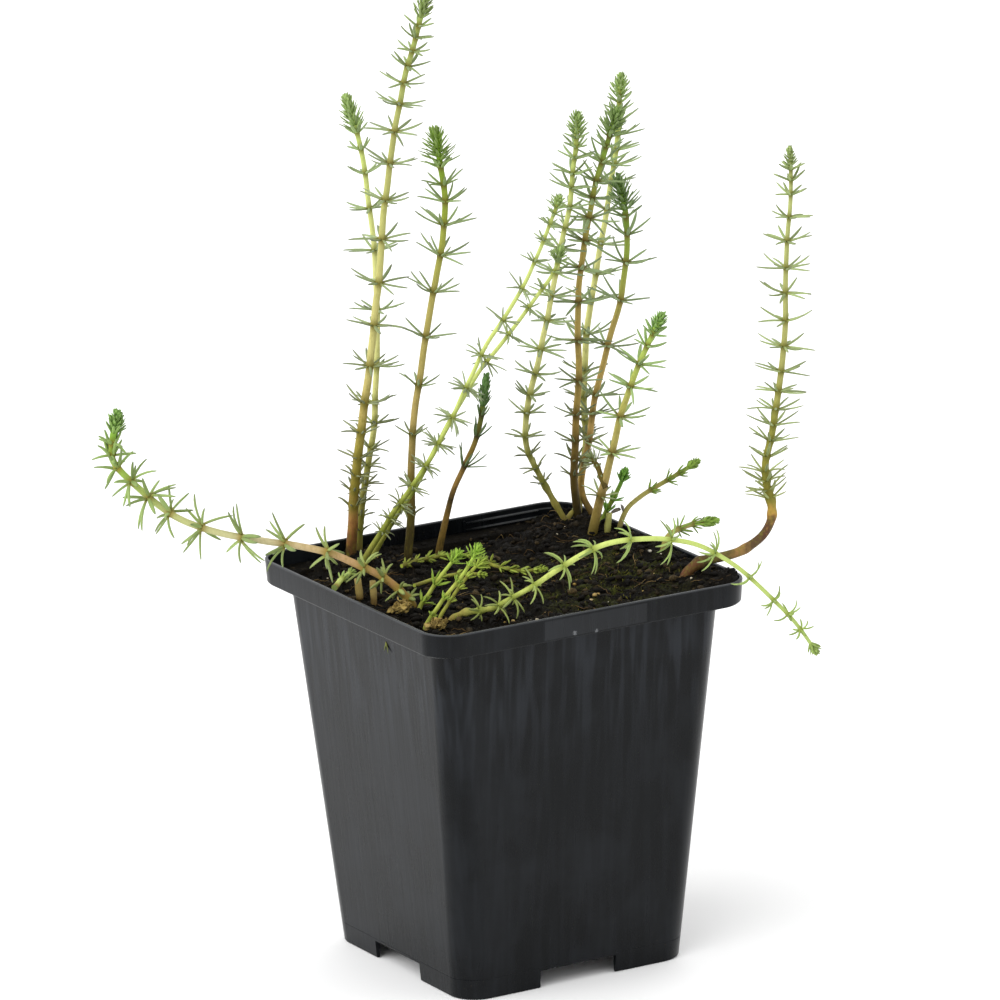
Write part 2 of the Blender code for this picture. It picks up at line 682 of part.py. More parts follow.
def add_leaves(grown: Grown, thicket: Thicket) -> None:
    """Draw each face of the leaf bands out into a pointed leaf."""
    stem = grown.stem
    bm = bmesh.new()
    bm.from_mesh(grown.mesh)
    bm.verts.ensure_lookup_table()
    ring_of = {vert: vert.index // stem.sides - CAP_RINGS for vert in bm.verts}
    jobs = []
    for face in bm.faces:
        rings = {ring_of[vert] for vert in face.verts}
        if len(face.verts) == 4 and len(rings) == 2 and min(rings) in grown.bands:
            jobs.append((grown.bands.index(min(rings)), face))
    count = len(grown.bands)
    for number, face in jobs:
        distance = grown.distances[number]
        axis = grown.path.direction(distance)
        base = np.array(face.calc_center_median()) / MM
        out = base - grown.path.at(distance)
        out -= axis * float(out @ axis)
        out /= np.linalg.norm(out)
        share = number / max(1, count - 1)
        tip = grow_leaf(thicket, stem, base, out, axis, share)
        thicket.add(stem.name, base, tip, 0.3)
        made = bmesh.ops.poke(bm, faces=[face])
        made["verts"][0].co = Vector(tip) * MM
    bmesh.ops.remove_doubles(bm, verts=bm.verts, dist=0.00001)
    bmesh.ops.triangulate(bm, faces=bm.faces)
    bmesh.ops.recalc_face_normals(bm, faces=bm.faces)
    bm.to_mesh(grown.mesh)
    bm.free()


def plain_tube(name: str, points: list, radii: list, sides: int) -> bpy.types.Mesh:
    """Return a closed bare tube with welded caps."""
    mesh = tube_mesh(name, points, radii, [0.0] * len(points), sides)
    bm = bmesh.new()
    bm.from_mesh(mesh)
    bmesh.ops.remove_doubles(bm, verts=bm.verts, dist=0.00001)
    bmesh.ops.triangulate(bm, faces=bm.faces)
    bmesh.ops.recalc_face_normals(bm, faces=bm.faces)
    bm.to_mesh(mesh)
    bm.free()
    return mesh


def build_stems(builder: Builder) -> None:
    """Make every leafy stem and the pits that the planted ones stand in."""
    thicket = Thicket()
    grown_stems = [grow_tube(stem) for stem in STEMS]
    for grown in grown_stems:
        marks = np.arange(0.0, grown.path.length, 3.0)
        places = [grown.path.at(mark) for mark in marks] + [grown.path.at(grown.path.length)]
        for start, end in zip(places, places[1:]):
            thicket.add(grown.stem.name, start, end, max(grown.stem.girth))
    for grown in grown_stems:
        add_leaves(grown, thicket)
        part = builder.part(grown.stem.name, grown.mesh, grown.stem.look)
        if grown.stem.name == "stem_thick_foot":
            branch_radii = [BRANCH_RADIUS] * (len(BRANCH_ROUTE) - 1) + [TIP_RADIUS]
            branch = plain_tube("branch", list(BRANCH_ROUTE), branch_radii, 6)
            cut(part, builder.cutter("branch", branch), "UNION")
        if grown.stem.planted:
            dig_pit(builder, grown.stem.name, grown.points, grown.radii)


def dig_pit(builder: Builder, name: str, points: list, radii: list) -> None:
    """Make the pit that a stem's foot stands in: a square tube around its own."""
    kept = 1
    for point, radius in zip(points[1:], radii[1:]):
        kept += 1
        if point[2] > ground_height(point[0], point[1]) + radius + PIT_CLEAR:
            break
    route = [np.array(point, float) for point in points[:kept]]
    route[0] = route[0] - (0.0, 0.0, PIT_GAP)
    wider = [(radius + PIT_GAP) * math.sqrt(2.0) for radius in radii[:kept]]
    builder.pit(name, plain_tube(f"pit_{name}", route, wider, 4))


def build_stubs(builder: Builder) -> None:
    """Make the bare stubs, each in its pit."""
    for name, foot, top, radius in STUBS:
        points = [below(foot), foot, top]
        radii = [radius, radius, 0.8 * radius]
        builder.part(name, plain_tube(name, points, radii, 6), "withered")
        dig_pit(builder, name, points, radii)


def build_clumps(builder: Builder) -> None:
    """Make the withered leaves that lie on the ground."""
    for name, (x, y), halves in CLUMPS:
        bm = bmesh.new()
        bmesh.ops.create_icosphere(bm, subdivisions=1, radius=1.0)
        lift = ground_height(x, y) + halves[2] + 0.9
        for vert in bm.verts:
            pinch = 1.0 + 0.18 * math.sin(7.0 * vert.co.x + 5.0 * vert.co.y)
            vert.co = Vector((
                (x + vert.co.x * halves[0] * pinch) * MM,
                (y + vert.co.y * halves[1] * pinch) * MM,
                (lift + vert.co.z * halves[2]) * MM))
        mesh = bpy.data.meshes.new(name)
        bm.to_mesh(mesh)
        bm.free()
        builder.part(name, mesh, "withered")


def main() -> None:
    """Build the whole plant in its pot."""
    clear_scene()
    builder = Builder()
    build_pot(builder)
    build_ground(builder)
    build_stems(builder)
    build_stubs(builder)
    build_clumps(builder)


if __name__ == "__main__":
    main()
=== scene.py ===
"""Looks of a young mare's tail plant that stands in a small square nursery pot.

Lengths are in millimetres until a mesh is made, and MM turns them into metres.
Routes and the ground are laid out about the pot's own axis, as in the part's
source, and POT_AXIS carries that axis to its place in the frame.
"""
import logging
import math
import random
from dataclasses import dataclass, field
from enum import Enum

import bmesh
import bpy
import numpy as np
from mathutils import Matrix, Vector, noise


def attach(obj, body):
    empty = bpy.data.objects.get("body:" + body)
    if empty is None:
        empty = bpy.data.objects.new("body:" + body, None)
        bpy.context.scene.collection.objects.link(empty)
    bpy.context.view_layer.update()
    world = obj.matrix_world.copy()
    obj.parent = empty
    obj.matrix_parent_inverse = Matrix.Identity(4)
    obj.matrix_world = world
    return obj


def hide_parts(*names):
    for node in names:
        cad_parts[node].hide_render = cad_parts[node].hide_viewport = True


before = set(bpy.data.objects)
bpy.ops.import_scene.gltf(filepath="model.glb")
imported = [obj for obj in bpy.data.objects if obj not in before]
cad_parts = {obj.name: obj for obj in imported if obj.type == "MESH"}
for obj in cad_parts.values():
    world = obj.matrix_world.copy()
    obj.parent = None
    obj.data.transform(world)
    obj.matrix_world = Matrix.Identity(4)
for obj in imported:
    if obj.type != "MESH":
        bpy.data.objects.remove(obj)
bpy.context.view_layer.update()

LOG = logging.getLogger("mares_tail")
MM = 0.001
POT_AXIS = np.array((12.7, 13.2, 0.0))
# The pot's rim, and the ledge inside the wall that stems near it mustn't meet.
RIM_HALF = 45.0
RIM_TOP = 98.0
LEDGE_REACH = 36.1
LEDGE_TOP = 94.3
# How deep a stem goes into the ground, how close two places count as one, in metres,
# and the widest turn that is drawn by luck.
BURIED = 4.0
NEAR = 0.00002
SPIN = 6.28
IMAGE_SIZE = 1000.0
MARKS = "marks"
WAVER_SEED = 7

noise.seed_set(WAVER_SEED)


def rgb(red: float, green: float, blue: float) -> tuple:
    """Return a colour, given in screen values up to 255, as the shader's linear values.

    Args:
        red: The red value.
        green: The green value.
        blue: The blue value.

    Returns:
        The linear colour with an alpha of 1.
    """
    linear = []
    for value in (red, green, blue):
        part = value / 255.0
        linear.append(part / 12.92 if part <= 0.04045 else ((part + 0.055) / 1.055) ** 2.4)
    return (*linear, 1.0)


def toned(rows: tuple) -> tuple:
    """Return the stops of a ramp, from rows of a share and a screen colour."""
    return tuple((share, rgb(*tone)) for share, *tone in rows)


def towards(azimuth: float, height: float) -> np.ndarray:
    """Return the direction of a place round the pot, seen from it.

    Args:
        azimuth: The side in degrees: 0 is the front, and right is positive.
        height: The angle above the table in degrees.

    Returns:
        The unit direction.
    """
    turn = math.radians(azimuth)
    rise = math.radians(height)
    return np.array((math.sin(turn) * math.cos(rise), -math.cos(turn) * math.cos(rise),
                     math.sin(rise)))


def buried_depth(foot: tuple, slack: float = 0.0) -> float:
    """Return how deep a stem goes below its foot without meeting the pot's ledge.

    Args:
        foot: The place where it leaves the ground.
        slack: How far it may go into the ledge.

    Returns:
        The depth.
    """
    if max(abs(foot[0]), abs(foot[1])) <= LEDGE_REACH:
        return BURIED
    return min(BURIED, foot[2] - LEDGE_TOP + slack)


def tumble(luck: random.Random, tilt: float) -> np.ndarray:
    """Return a turn drawn by luck: any way round, after a tilt up to the given one."""
    way = Matrix.Rotation(luck.uniform(0, SPIN), 3, "Z")
    return np.array(way @ Matrix.Rotation(luck.uniform(-tilt, tilt), 3, "X"))


class Wire:
    """An output socket that takes part in sums, so shader maths reads as maths."""

    def __init__(self, board: "Board", socket: bpy.types.NodeSocket) -> None:
        """Keep the node tree's board and the socket."""
        self.board = board
        self.socket = socket

    def _math(self, operation: str, first: object, second: object = None) -> "Wire":
        """Return a Math node's output for one value, or for two."""
        inputs = {0: first} if second is None else {0: first, 1: second}
        return self.board.add("ShaderNodeMath", {"operation": operation}, inputs)

    def __add__(self, other: object) -> "Wire":
        """Return the sum."""
        return self._math("ADD", self, other)

    def __radd__(self, other: object) -> "Wire":
        """Return the sum with a plain number in front."""
        return self._math("ADD", other, self)

    def __sub__(self, other: object) -> "Wire":
        """Return the difference."""
        return self._math("SUBTRACT", self, other)

    def __rsub__(self, other: object) -> "Wire":
        """Return a plain number less this value."""
        return self._math("SUBTRACT", other, self)

    def __mul__(self, other: object) -> "Wire":
        """Return the product."""
        return self._math("MULTIPLY", self, other)

    def __rmul__(self, other: object) -> "Wire":
        """Return the product with a plain number in front."""
        return self._math("MULTIPLY", other, self)

    def between(self, low: float, high: float) -> "Wire":
        """Return 0 below the low value, 1 above the high value and a soft step between."""
        settings = {"interpolation_type": "SMOOTHSTEP"}
        return self.board.add("ShaderNodeMapRange", settings, {0: self, 1: low, 2: high})

    def within(self, rise: tuple, fall: tuple) -> "Wire":
        """Return 1 between a rising step and a falling step, and 0 outside them."""
        return self.between(*rise) * (1.0 - self.between(*fall))

    def part(self, axis: str) -> "Wire":
        """Return one part of a vector: X, Y or Z."""
        return self.board.add("ShaderNodeSeparateXYZ", {}, {0: self}, axis)


class Board:
    """A material's node tree, filled one node at a time."""

    def __init__(self, name: str) -> None:
        """Make a material that holds only its shader and its output.

        Args:
            name: The material's name.
        """
        self.material = bpy.data.materials.new(name)
        self.material.use_nodes = True
        self.tree = self.material.node_tree
        self.shader = self.tree.nodes["Principled BSDF"]

    def add(self, kind: str, settings: dict, inputs: dict, output: object = 0) -> Wire:
        """Add any node.

        Args:
            kind: The node's type.
            settings: Its properties, and the stops of a ramp under "stops".
            inputs: The value or wire of each socket, by number or name.
            output: The number or name of the output that is wanted.

        Returns:
            The wanted output.
        """
        node = self.tree.nodes.new(kind)
        for key, value in settings.items():
            if key == "stops":
                self._stops(node.color_ramp, value)
            else:
                setattr(node, key, value)
        for key, value in inputs.items():
            if isinstance(value, Wire):
                self.tree.links.new(value.socket, node.inputs[key])
            else:
                node.inputs[key].default_value = value
        return Wire(self, node.outputs[output])

    @staticmethod
    def _stops(ramp: bpy.types.ColorRamp, stops: tuple) -> None:
        """Set a ramp's stops.

        Args:
            ramp: The ramp.
            stops: Pairs of a place and a colour.
        """
        while len(ramp.elements) < len(stops):
            ramp.elements.new(1.0)
        for element, (place, colour) in zip(ramp.elements, stops):
            element.position = place
            element.color = colour

    def place(self) -> Wire:
        """Read the place in millimetres about the pot's own axis.

        Returns:
            The place as a vector.
        """
        spot = self.stretch(self.add("ShaderNodeTexCoord", {}, {}, "Object"), (1.0 / MM,) * 3)
        inputs = {0: spot, 1: tuple(POT_AXIS)}
        return self.add("ShaderNodeVectorMath", {"operation": "SUBTRACT"}, inputs)

    def away(self, vector: Wire, spot: tuple) -> Wire:
        """Return the distance of a place from a fixed spot."""
        inputs = {0: vector, 1: spot}
        return self.add("ShaderNodeVectorMath", {"operation": "DISTANCE"}, inputs, "Value")

    def stretch(self, vector: Wire, factors: tuple) -> Wire:
        """Return a vector multiplied part by part."""
        return self.add("ShaderNodeVectorMath", {"operation": "MULTIPLY"}, {0: vector, 1: factors})

    def grain(self, vector: Wire, scale: float, detail: float = 3.0, rough: float = 0.6) -> Wire:
        """Return a noise value around one half, from so many grains a millimetre."""
        inputs = {"Vector": vector, "Scale": scale, "Detail": detail, "Roughness": rough}
        return self.add("ShaderNodeTexNoise", {}, inputs, 0)

    def ramp(self, value: Wire, stops: tuple) -> Wire:
        """Return a colour ramp's colour at a value."""
        return self.add("ShaderNodeValToRGB", {"stops": stops}, {0: value})

    def blend(self, share: object, first: object, second: object, how: str = "MIX") -> Wire:
        """Return two colours mixed, by the share of the second."""
        settings = {"data_type": "RGBA", "blend_type": how}
        return self.add("ShaderNodeMix", settings, {0: share, 6: first, 7: second}, 2)

    def shaded(self, colour: Wire, shade: Wire) -> Wire:
        """Return a colour made darker or lighter by a shade around 1."""
        grey = self.add("ShaderNodeCombineXYZ", {}, {0: shade, 1: shade, 2: shade})
        return self.blend(1.0, colour, grey, "MULTIPLY")

    def marks(self) -> tuple:
        """Read the marks that the meshes carry.

        Returns:
            Four wires: the place along the shoot, the place along the blade, the
            luck of the leaf and the closeness of a knot.
        """
        node = self.tree.nodes.new("ShaderNodeAttribute")
        node.attribute_name = MARKS
        colour = Wire(self, node.outputs["Color"])
        parts = [self.add("ShaderNodeSeparateColor", {}, {0: colour}, i) for i in range(3)]
        return (*parts, Wire(self, node.outputs["Alpha"]))

    def bump(self, height: Wire, depth: float) -> None:
        """Let a height value shape the normal.

        Args:
            height: The height, from 0 to 1.
            depth: The depth of the relief in millimetres.
        """
        inputs = {"Height": height, "Distance": depth * MM, "Strength": 1.0}
        normal = self.add("ShaderNodeBump", {}, inputs)
        self.tree.links.new(normal.socket, self.shader.inputs["Normal"])

    def finish(self, **sockets: object) -> bpy.types.Material:
        """Feed the shader.

        Args:
            **sockets: The shader's sockets, with _ for a space, each a value or a wire.

        Returns:
            The finished material.
        """
        for key, value in sockets.items():
            target = self.shader.inputs[key.replace("_", " ")]
            if isinstance(value, Wire):
                self.tree.links.new(value.socket, target)
            else:
                target.default_value = value
        return self.material


@dataclass(frozen=True)
class PlasticFinish:
    """The pot's black moulded plastic: satin, with upright flow lines and small nicks, and a painted
    highlight along the inner ridges.
    """

    dark: tuple = rgb(5, 7, 9)
    light: tuple = rgb(38, 41, 46)
    worn: tuple = rgb(66, 68, 71)
    # Pale grey of the nicks, also used for the painted highlight on the inner ridges.
    nick_and_highlight: tuple = rgb(112, 114, 117)
    dust: tuple = rgb(52, 45, 36)
    nicks: tuple = ((-44.9, -40.7, 92.4), (-6.4, -44.9, 93.0), (-0.2, -44.9, 92.4))
    panel: tuple = (-15.1, 14.3)
    panel_heights: tuple = ((92.2, 92.6), (97.0, 97.4))
    front: tuple = (-44.6, -44.4)
    ridges: tuple = (96.3, 94.5)
    ridge_depths: tuple = ((43.2, 43.3), (44.12, 44.2))
    ridge_start: tuple = (15.0, 26.0)
    streaked: tuple = (50.0, 90.0)
    collar: tuple = (91.6, 92.0)
    lip: tuple = (97.55, 97.85)
    dusty: tuple = (2.0, 14.0)

    def material(self) -> bpy.types.Material:
        """Make the plastic.

        Returns:
            The material.
        """
        board = Board("black_moulded_plastic")
        place = board.place()
        height = place.part("Z")
        flow = board.grain(board.stretch(place, (1.0, 1.0, 0.02)), 0.75, 4.0, 0.65)
        lines = board.grain(board.stretch(place, (1.0, 1.0, 0.015)), 0.5, 1.0)
        broad = board.grain(place, 0.05, 3.0)
        upper = 0.1 + height.between(*self.streaked) * 0.5
        streak = lines.between(0.4, 0.68) * upper * (1.0 - height.between(*self.collar) * 0.8)
        streak = streak + flow.between(0.36, 0.72) * 0.05
        colour = board.blend(streak + broad.between(0.42, 0.66) * 0.18, self.dark, self.light)
        colour = board.blend(height.between(*self.lip) * 0.75, colour, self.worn)
        colour = self.moulded(board, place, colour)
        specks = board.grain(place, 1.4, 2.0).between(0.71, 0.76)
        low = 1.0 - height.between(*self.dusty)
        colour = board.blend(specks * (0.2 + low * 0.3), colour, self.dust)
        ragged = board.grain(place, 2.5, 2.0) * 1.2
        for nick_and_highlight in self.nicks:
            edge = (board.away(place, nick_and_highlight) + ragged).between(0.95, 1.25)
            colour = board.blend((1.0 - edge) * 0.7, colour, self.nick_and_highlight)
        board.bump(flow * 0.5 + lines * 0.3 + board.grain(place, 5.0, 2.0) * 0.12, 0.06)
        rough = 0.14 + flow * 0.12 + broad * 0.16
        return board.finish(Base_Color=colour, Roughness=rough, Specular_IOR_Level=0.15)

    def moulded(self, board: Board, place: Wire, colour: Wire) -> Wire:
        """Paint a highlight along the tops of the ridges inside the back wall, and lighten the panel on
        the front collar.

        Args:
            board: The material's board.
            place: The place.
            colour: The colour so far.

        Returns:
            The new colour.
        """
        along, depth, height = (place.part(axis) for axis in "XYZ")
        back = depth.within(*self.ridge_depths) * along.between(*self.ridge_start)
        # Painted highlight: the upper half and top of each inner ridge is lightened as if it caught
        # light from above.
        for ridge in self.ridges:
            line = height.within((ridge - 0.1, ridge + 0.05), (ridge + 0.3, ridge + 0.4))
            colour = board.blend(back * line * 0.5, colour, self.nick_and_highlight)
        left, right = self.panel
        panel = along.within((left, left + 0.5), (right - 0.5, right))
        panel = panel * height.within(*self.panel_heights) * (1.0 - depth.between(*self.front))
        return board.blend(panel * 0.22, colour, self.worn)


@dataclass(frozen=True)
class SoilFinish:
    """Moist dark growing medium, crumbly, with a little moss towards the front right."""

    name: str = "moist_growing_medium"
    black: tuple = rgb(6, 5, 4)
    brown: tuple = rgb(18, 15, 10)
    tan: tuple = rgb(54, 45, 28)
    moss: tuple = rgb(66, 70, 24)
    moss_middle: tuple = (17.0, -14.0, 95.0)
    moss_reach: tuple = (8.0, 34.0)

    def material(self) -> bpy.types.Material:
        """Make the soil.

        Returns:
            The material.
        """
        board = Board(self.name)
        place = board.place()
        fine = board.grain(place, 1.6, 5.0, 0.7)
        patch = board.grain(place, 0.14, 3.0)
        stops = ((0.36, self.black), (0.56, self.brown), (0.76, self.tan))
        colour = board.ramp(fine * 0.75 + patch * 0.25, stops)
        away = board.away(place, self.moss_middle).between(*self.moss_reach)
        damp = (1.0 - away) * patch.between(0.44, 0.58)
        colour = board.blend(damp * fine.between(0.38, 0.6) * 0.8, colour, self.moss)
        board.bump(fine, 0.6)
        rough = 0.5 + fine * 0.4
        return board.finish(Base_Color=colour, Roughness=rough, Specular_IOR_Level=0.1)


@dataclass(frozen=True)
class CrumbFinish:
    """Loose bits whose colour is drawn by luck: shares and screen colours, in rows."""

    name: str
    tones: tuple
    roughness: float = 0.75

    def material(self) -> bpy.types.Material:
        """Make the material of the bits.

        Returns:
            The material.
        """
        board = Board(self.name)
        _, _, luck, _ = board.marks()
        fine = board.grain(board.place(), 3.0, 3.0)
        colour = board.ramp(luck * 0.85 + fine * 0.3 - 0.07, toned(self.tones))
        board.bump(fine, 0.2)
        rough = self.roughness + fine * 0.15 - 0.07
        return board.finish(Base_Color=colour, Roughness=rough, Specular_IOR_Level=0.15)


@dataclass(frozen=True)
class ShootFinish:
    """A shoot's stem and leaves, in screen colours.

    A band is a share of the stem's length and its colour there, from foot to tip.
    The lowest leaves turn to the low colours.
    """

    name: str
    bands: tuple
    knot: tuple
    leaf_base: tuple
    leaf: tuple
    leaf_tip: tuple
    bud: tuple
    low_leaf: tuple = (108, 104, 48)
    low_tip: tuple = (74, 72, 52)
    ageing: float = 0.75
    bloom: tuple = (176, 184, 166)
    bloom_share: float = 0.14

    def material(self) -> bpy.types.Material:
        """Make the shoot's skin from the marks that its mesh carries.

        Returns:
            The material.
        """
        board = Board(self.name)
        along, blade, luck, knot = board.marks()
        place = board.place()
        streak = board.grain(board.stretch(place, (1.0, 1.0, 0.12)), 2.2, 3.0)
        mottle = board.grain(place, 0.45, 3.0)
        dark = rgb(*self.knot)
        stem = board.ramp(along + mottle * 0.1 - 0.05, toned(self.bands))
        blotch = board.grain(board.stretch(place, (1.0, 1.0, 0.5)), 1.1, 4.0, 0.6)
        old = 0.14 + (1.0 - along.between(0.08, 0.6)) * 0.46
        stem = board.blend(blotch.between(0.48, 0.68) * old, stem, dark)
        stem = board.blend(knot * 0.92, stem, dark)
        leaf = board.ramp(blade, toned(((0.08, *self.leaf_base), (0.3, *self.leaf),
                                        (0.75, *self.leaf), (1.0, *self.leaf_tip))))
        worn = board.ramp(blade, toned(((0.3, *self.low_leaf), (1.0, *self.low_tip))))
        leaf = board.blend((1.0 - along.between(0.1, 0.5)) * self.ageing, leaf, worn)
        leaf = board.blend(self.bloom_share, leaf, rgb(*self.bloom))
        base = (1.0 - blade.between(0.1, 0.32)) * (1.0 - knot)
        leaf = board.blend(base * 0.7, leaf, dark)
        leaf = board.blend(knot * (1.0 - blade * 0.45), leaf, rgb(*self.bud))
        leaf = board.shaded(leaf, 0.72 + luck * 0.56)
        colour = board.blend(blade.between(0.02, 0.06), stem, leaf)
        colour = board.shaded(colour, 0.86 + streak * 0.28)
        board.bump(streak, 0.06)
        rough = 0.52 + mottle * 0.2
        return board.finish(Base_Color=colour, Roughness=rough, Specular_IOR_Level=0.22)


@dataclass(frozen=True)
class FloorFinish:
    """The plain pale table under the pot."""

    pale: tuple = (0.93, 0.93, 0.93, 1.0)
    white: tuple = (0.96, 0.96, 0.96, 1.0)

    def material(self) -> bpy.types.Material:
        """Make the table's paint.

        Returns:
            The material.
        """
        board = Board("pale_table")
        broad = board.grain(board.place(), 0.004, 2.0)
        return board.finish(Base_Color=board.blend(broad, self.pale, self.white), Roughness=0.9)


def plain_stem(foot: tuple, middle: tuple, top: tuple) -> tuple:
    """Return the bands of a stem that changes colour at its foot and its top alone."""
    return ((0.0, *foot), (0.28, *middle), (0.62, *middle), (0.95, *top))


GREEN_TALL = ShootFinish(
    "tall_green_shoot",
    ((0.0, 62, 48, 24), (0.05, 122, 82, 42), (0.09, 158, 116, 62),
     (0.13, 132, 116, 40), (0.2, 146, 134, 56), (0.27, 168, 150, 84), (0.36, 188, 180, 114),
     (0.5, 182, 177, 109), (0.62, 168, 168, 98), (0.74, 160, 160, 95), (0.95, 152, 168, 90)),
    knot=(112, 104, 36), leaf_base=(154, 162, 84), leaf=(130, 146, 94), leaf_tip=(110, 114, 92),
    bud=(138, 162, 74))
PALE_UPRIGHT = ShootFinish(
    "pale_upright_shoot",
    ((0.0, 104, 92, 42), (0.08, 140, 130, 62), (0.26, 190, 188, 118),
     (0.62, 198, 198, 128), (0.95, 176, 192, 104)),
    knot=(112, 114, 44), leaf_base=(162, 174, 96), leaf=(134, 152, 100), leaf_tip=(112, 122, 94),
    bud=(138, 166, 80))
GREEN_LEANING = ShootFinish(
    "green_leaning_shoot",
    ((0.0, 112, 106, 46), (0.1, 146, 148, 64), (0.28, 166, 180, 84),
     (0.5, 188, 200, 112), (0.95, 182, 194, 112)),
    knot=(116, 124, 44), leaf_base=(162, 174, 96), leaf=(130, 144, 98), leaf_tip=(108, 116, 92),
    bud=(138, 166, 80), low_leaf=(134, 140, 78), low_tip=(104, 106, 78))
BROWN_UPRIGHT = ShootFinish(
    "brown_upright_shoot",
    ((0.0, 38, 32, 14), (0.08, 66, 54, 22), (0.15, 102, 82, 34),
     (0.25, 142, 118, 56), (0.42, 162, 140, 74), (0.64, 154, 134, 68), (0.78, 140, 140, 60),
     (0.92, 116, 146, 52)),
    knot=(84, 68, 26), leaf_base=(142, 148, 76), leaf=(124, 142, 94), leaf_tip=(106, 116, 86),
    bud=(112, 142, 60), low_leaf=(98, 96, 48), low_tip=(74, 74, 54), bloom_share=0.07)
DARK_BROWN = ShootFinish(
    "dark_brown_shoot",
    ((0.0, 58, 48, 20), (0.12, 112, 90, 40), (0.25, 136, 108, 52),
     (0.35, 58, 48, 26), (0.41, 148, 116, 60), (0.58, 134, 108, 48), (0.75, 96, 96, 36),
     (0.9, 84, 108, 36)),
    knot=(50, 46, 22), leaf_base=(96, 108, 44), leaf=(80, 100, 50), leaf_tip=(64, 76, 46),
    bud=(66, 112, 36))
OLIVE_FOOTED = ShootFinish(
    "olive_footed_shoot",
    ((0.0, 66, 54, 20), (0.07, 96, 84, 36), (0.14, 134, 116, 58),
     (0.22, 168, 142, 92), (0.34, 174, 158, 92), (0.62, 172, 168, 88), (0.95, 168, 200, 92)),
    knot=(106, 92, 36), leaf_base=(164, 182, 94), leaf=(142, 166, 98), leaf_tip=(120, 136, 92),
    bud=(126, 170, 76), low_leaf=(132, 134, 82), low_tip=(108, 110, 82))
CREEPING = ShootFinish(
    "creeping_shoot",
    ((0.0, 76, 44, 26), (0.05, 92, 60, 34), (0.09, 64, 54, 26), (0.13, 94, 80, 42),
     (0.16, 140, 108, 62), (0.19, 82, 64, 40), (0.235, 84, 56, 38), (0.262, 170, 134, 62),
     (0.32, 140, 134, 50), (0.45, 142, 140, 64), (0.55, 162, 159, 94), (0.95, 168, 176, 110)),
    knot=(108, 106, 38), leaf_base=(156, 162, 84), leaf=(142, 157, 102), leaf_tip=(122, 128, 98),
    bud=(138, 158, 90), low_leaf=(150, 148, 74), low_tip=(122, 120, 74), bloom_share=0.06)
DARK_TIPPED = ShootFinish(
    "dark_tipped_shoot",
    ((0.0, 58, 46, 20), (0.08, 100, 80, 34), (0.16, 164, 132, 62),
     (0.26, 184, 150, 86), (0.6, 160, 142, 78), (0.76, 140, 152, 64), (0.95, 104, 138, 46)),
    knot=(100, 84, 34), leaf_base=(144, 156, 80), leaf=(122, 141, 92), leaf_tip=(104, 112, 86),
    bud=(88, 122, 48))
VIVID_TIPPED = ShootFinish(
    "vivid_tipped_shoot",
    ((0.0, 48, 42, 18), (0.1, 72, 62, 26), (0.2, 110, 92, 40),
     (0.32, 164, 144, 86), (0.62, 160, 150, 82), (0.82, 140, 152, 54), (0.95, 116, 150, 38)),
    knot=(96, 88, 30), leaf_base=(148, 158, 72), leaf=(120, 138, 86), leaf_tip=(102, 106, 84),
    bud=(124, 156, 50))
PALE_ARCHING = ShootFinish(
    "pale_arching_shoot",
    ((0.0, 138, 114, 62), (0.06, 140, 128, 62), (0.12, 166, 164, 84),
     (0.2, 180, 190, 98), (0.4, 190, 204, 112), (0.95, 164, 184, 104)),
    knot=(132, 144, 60), leaf_base=(160, 178, 88), leaf=(136, 158, 82), leaf_tip=(118, 132, 78),
    bud=(146, 168, 88), low_leaf=(146, 148, 72), low_tip=(120, 118, 62), ageing=0.5, bloom_share=0.04)
PINK_TRAILING = ShootFinish(
    "pink_trailing_shoot",
    ((0.0, 84, 70, 30), (0.04, 116, 94, 44), (0.09, 152, 106, 70),
     (0.25, 180, 148, 106), (0.45, 188, 179, 138), (0.7, 178, 184, 118), (0.86, 146, 178, 70),
     (1.0, 116, 162, 58)),
    knot=(140, 120, 50), leaf_base=(158, 174, 94), leaf=(140, 160, 92), leaf_tip=(112, 128, 80),
    bud=(96, 142, 54), low_leaf=(130, 136, 60), low_tip=(106, 108, 50), ageing=0.6, bloom_share=0.05)
VIVID_SHORT = ShootFinish(
    "vivid_short_shoot", plain_stem((150, 148, 72), (166, 174, 78), (148, 178, 70)),
    knot=(120, 132, 46), leaf_base=(152, 168, 68), leaf=(136, 160, 62), leaf_tip=(110, 128, 56),
    bud=(136, 172, 62), low_leaf=(124, 132, 56), low_tip=(94, 96, 44), ageing=0.6, bloom_share=0.0)
OLIVE_SHORT = ShootFinish(
    "olive_short_shoot", plain_stem((114, 108, 46), (142, 145, 57), (150, 162, 62)),
    knot=(102, 100, 40), leaf_base=(150, 160, 66), leaf=(140, 153, 64), leaf_tip=(110, 116, 52),
    bud=(142, 165, 62), low_leaf=(130, 128, 52), low_tip=(94, 90, 40), ageing=0.5, bloom_share=0.0)
DARK_SHORT = ShootFinish(
    "dark_short_shoot", plain_stem((70, 54, 30), (146, 138, 72), (112, 142, 52)),
    knot=(98, 94, 36), leaf_base=(126, 146, 64), leaf=(120, 146, 62), leaf_tip=(98, 118, 58),
    bud=(120, 152, 58), bloom_share=0.0)
BRIGHT_SHORT = ShootFinish(
    "bright_short_shoot", plain_stem((120, 116, 48), (120, 140, 52), (74, 134, 44)),
    knot=(100, 116, 40), leaf_base=(110, 148, 60), leaf=(112, 156, 66), leaf_tip=(92, 134, 60),
    bud=(112, 158, 64), low_leaf=(98, 112, 46), low_tip=(76, 84, 40), ageing=0.4, bloom_share=0.0)
WITHERED = ShootFinish(
    "withered_remains", plain_stem((104, 84, 42), (136, 118, 64), (152, 136, 78)),
    knot=(92, 74, 38), leaf_base=(166, 146, 84), leaf=(152, 132, 74), leaf_tip=(112, 92, 50),
    bud=(128, 110, 54), low_leaf=(152, 132, 74), low_tip=(110, 90, 48), ageing=0.3, bloom_share=0.0)
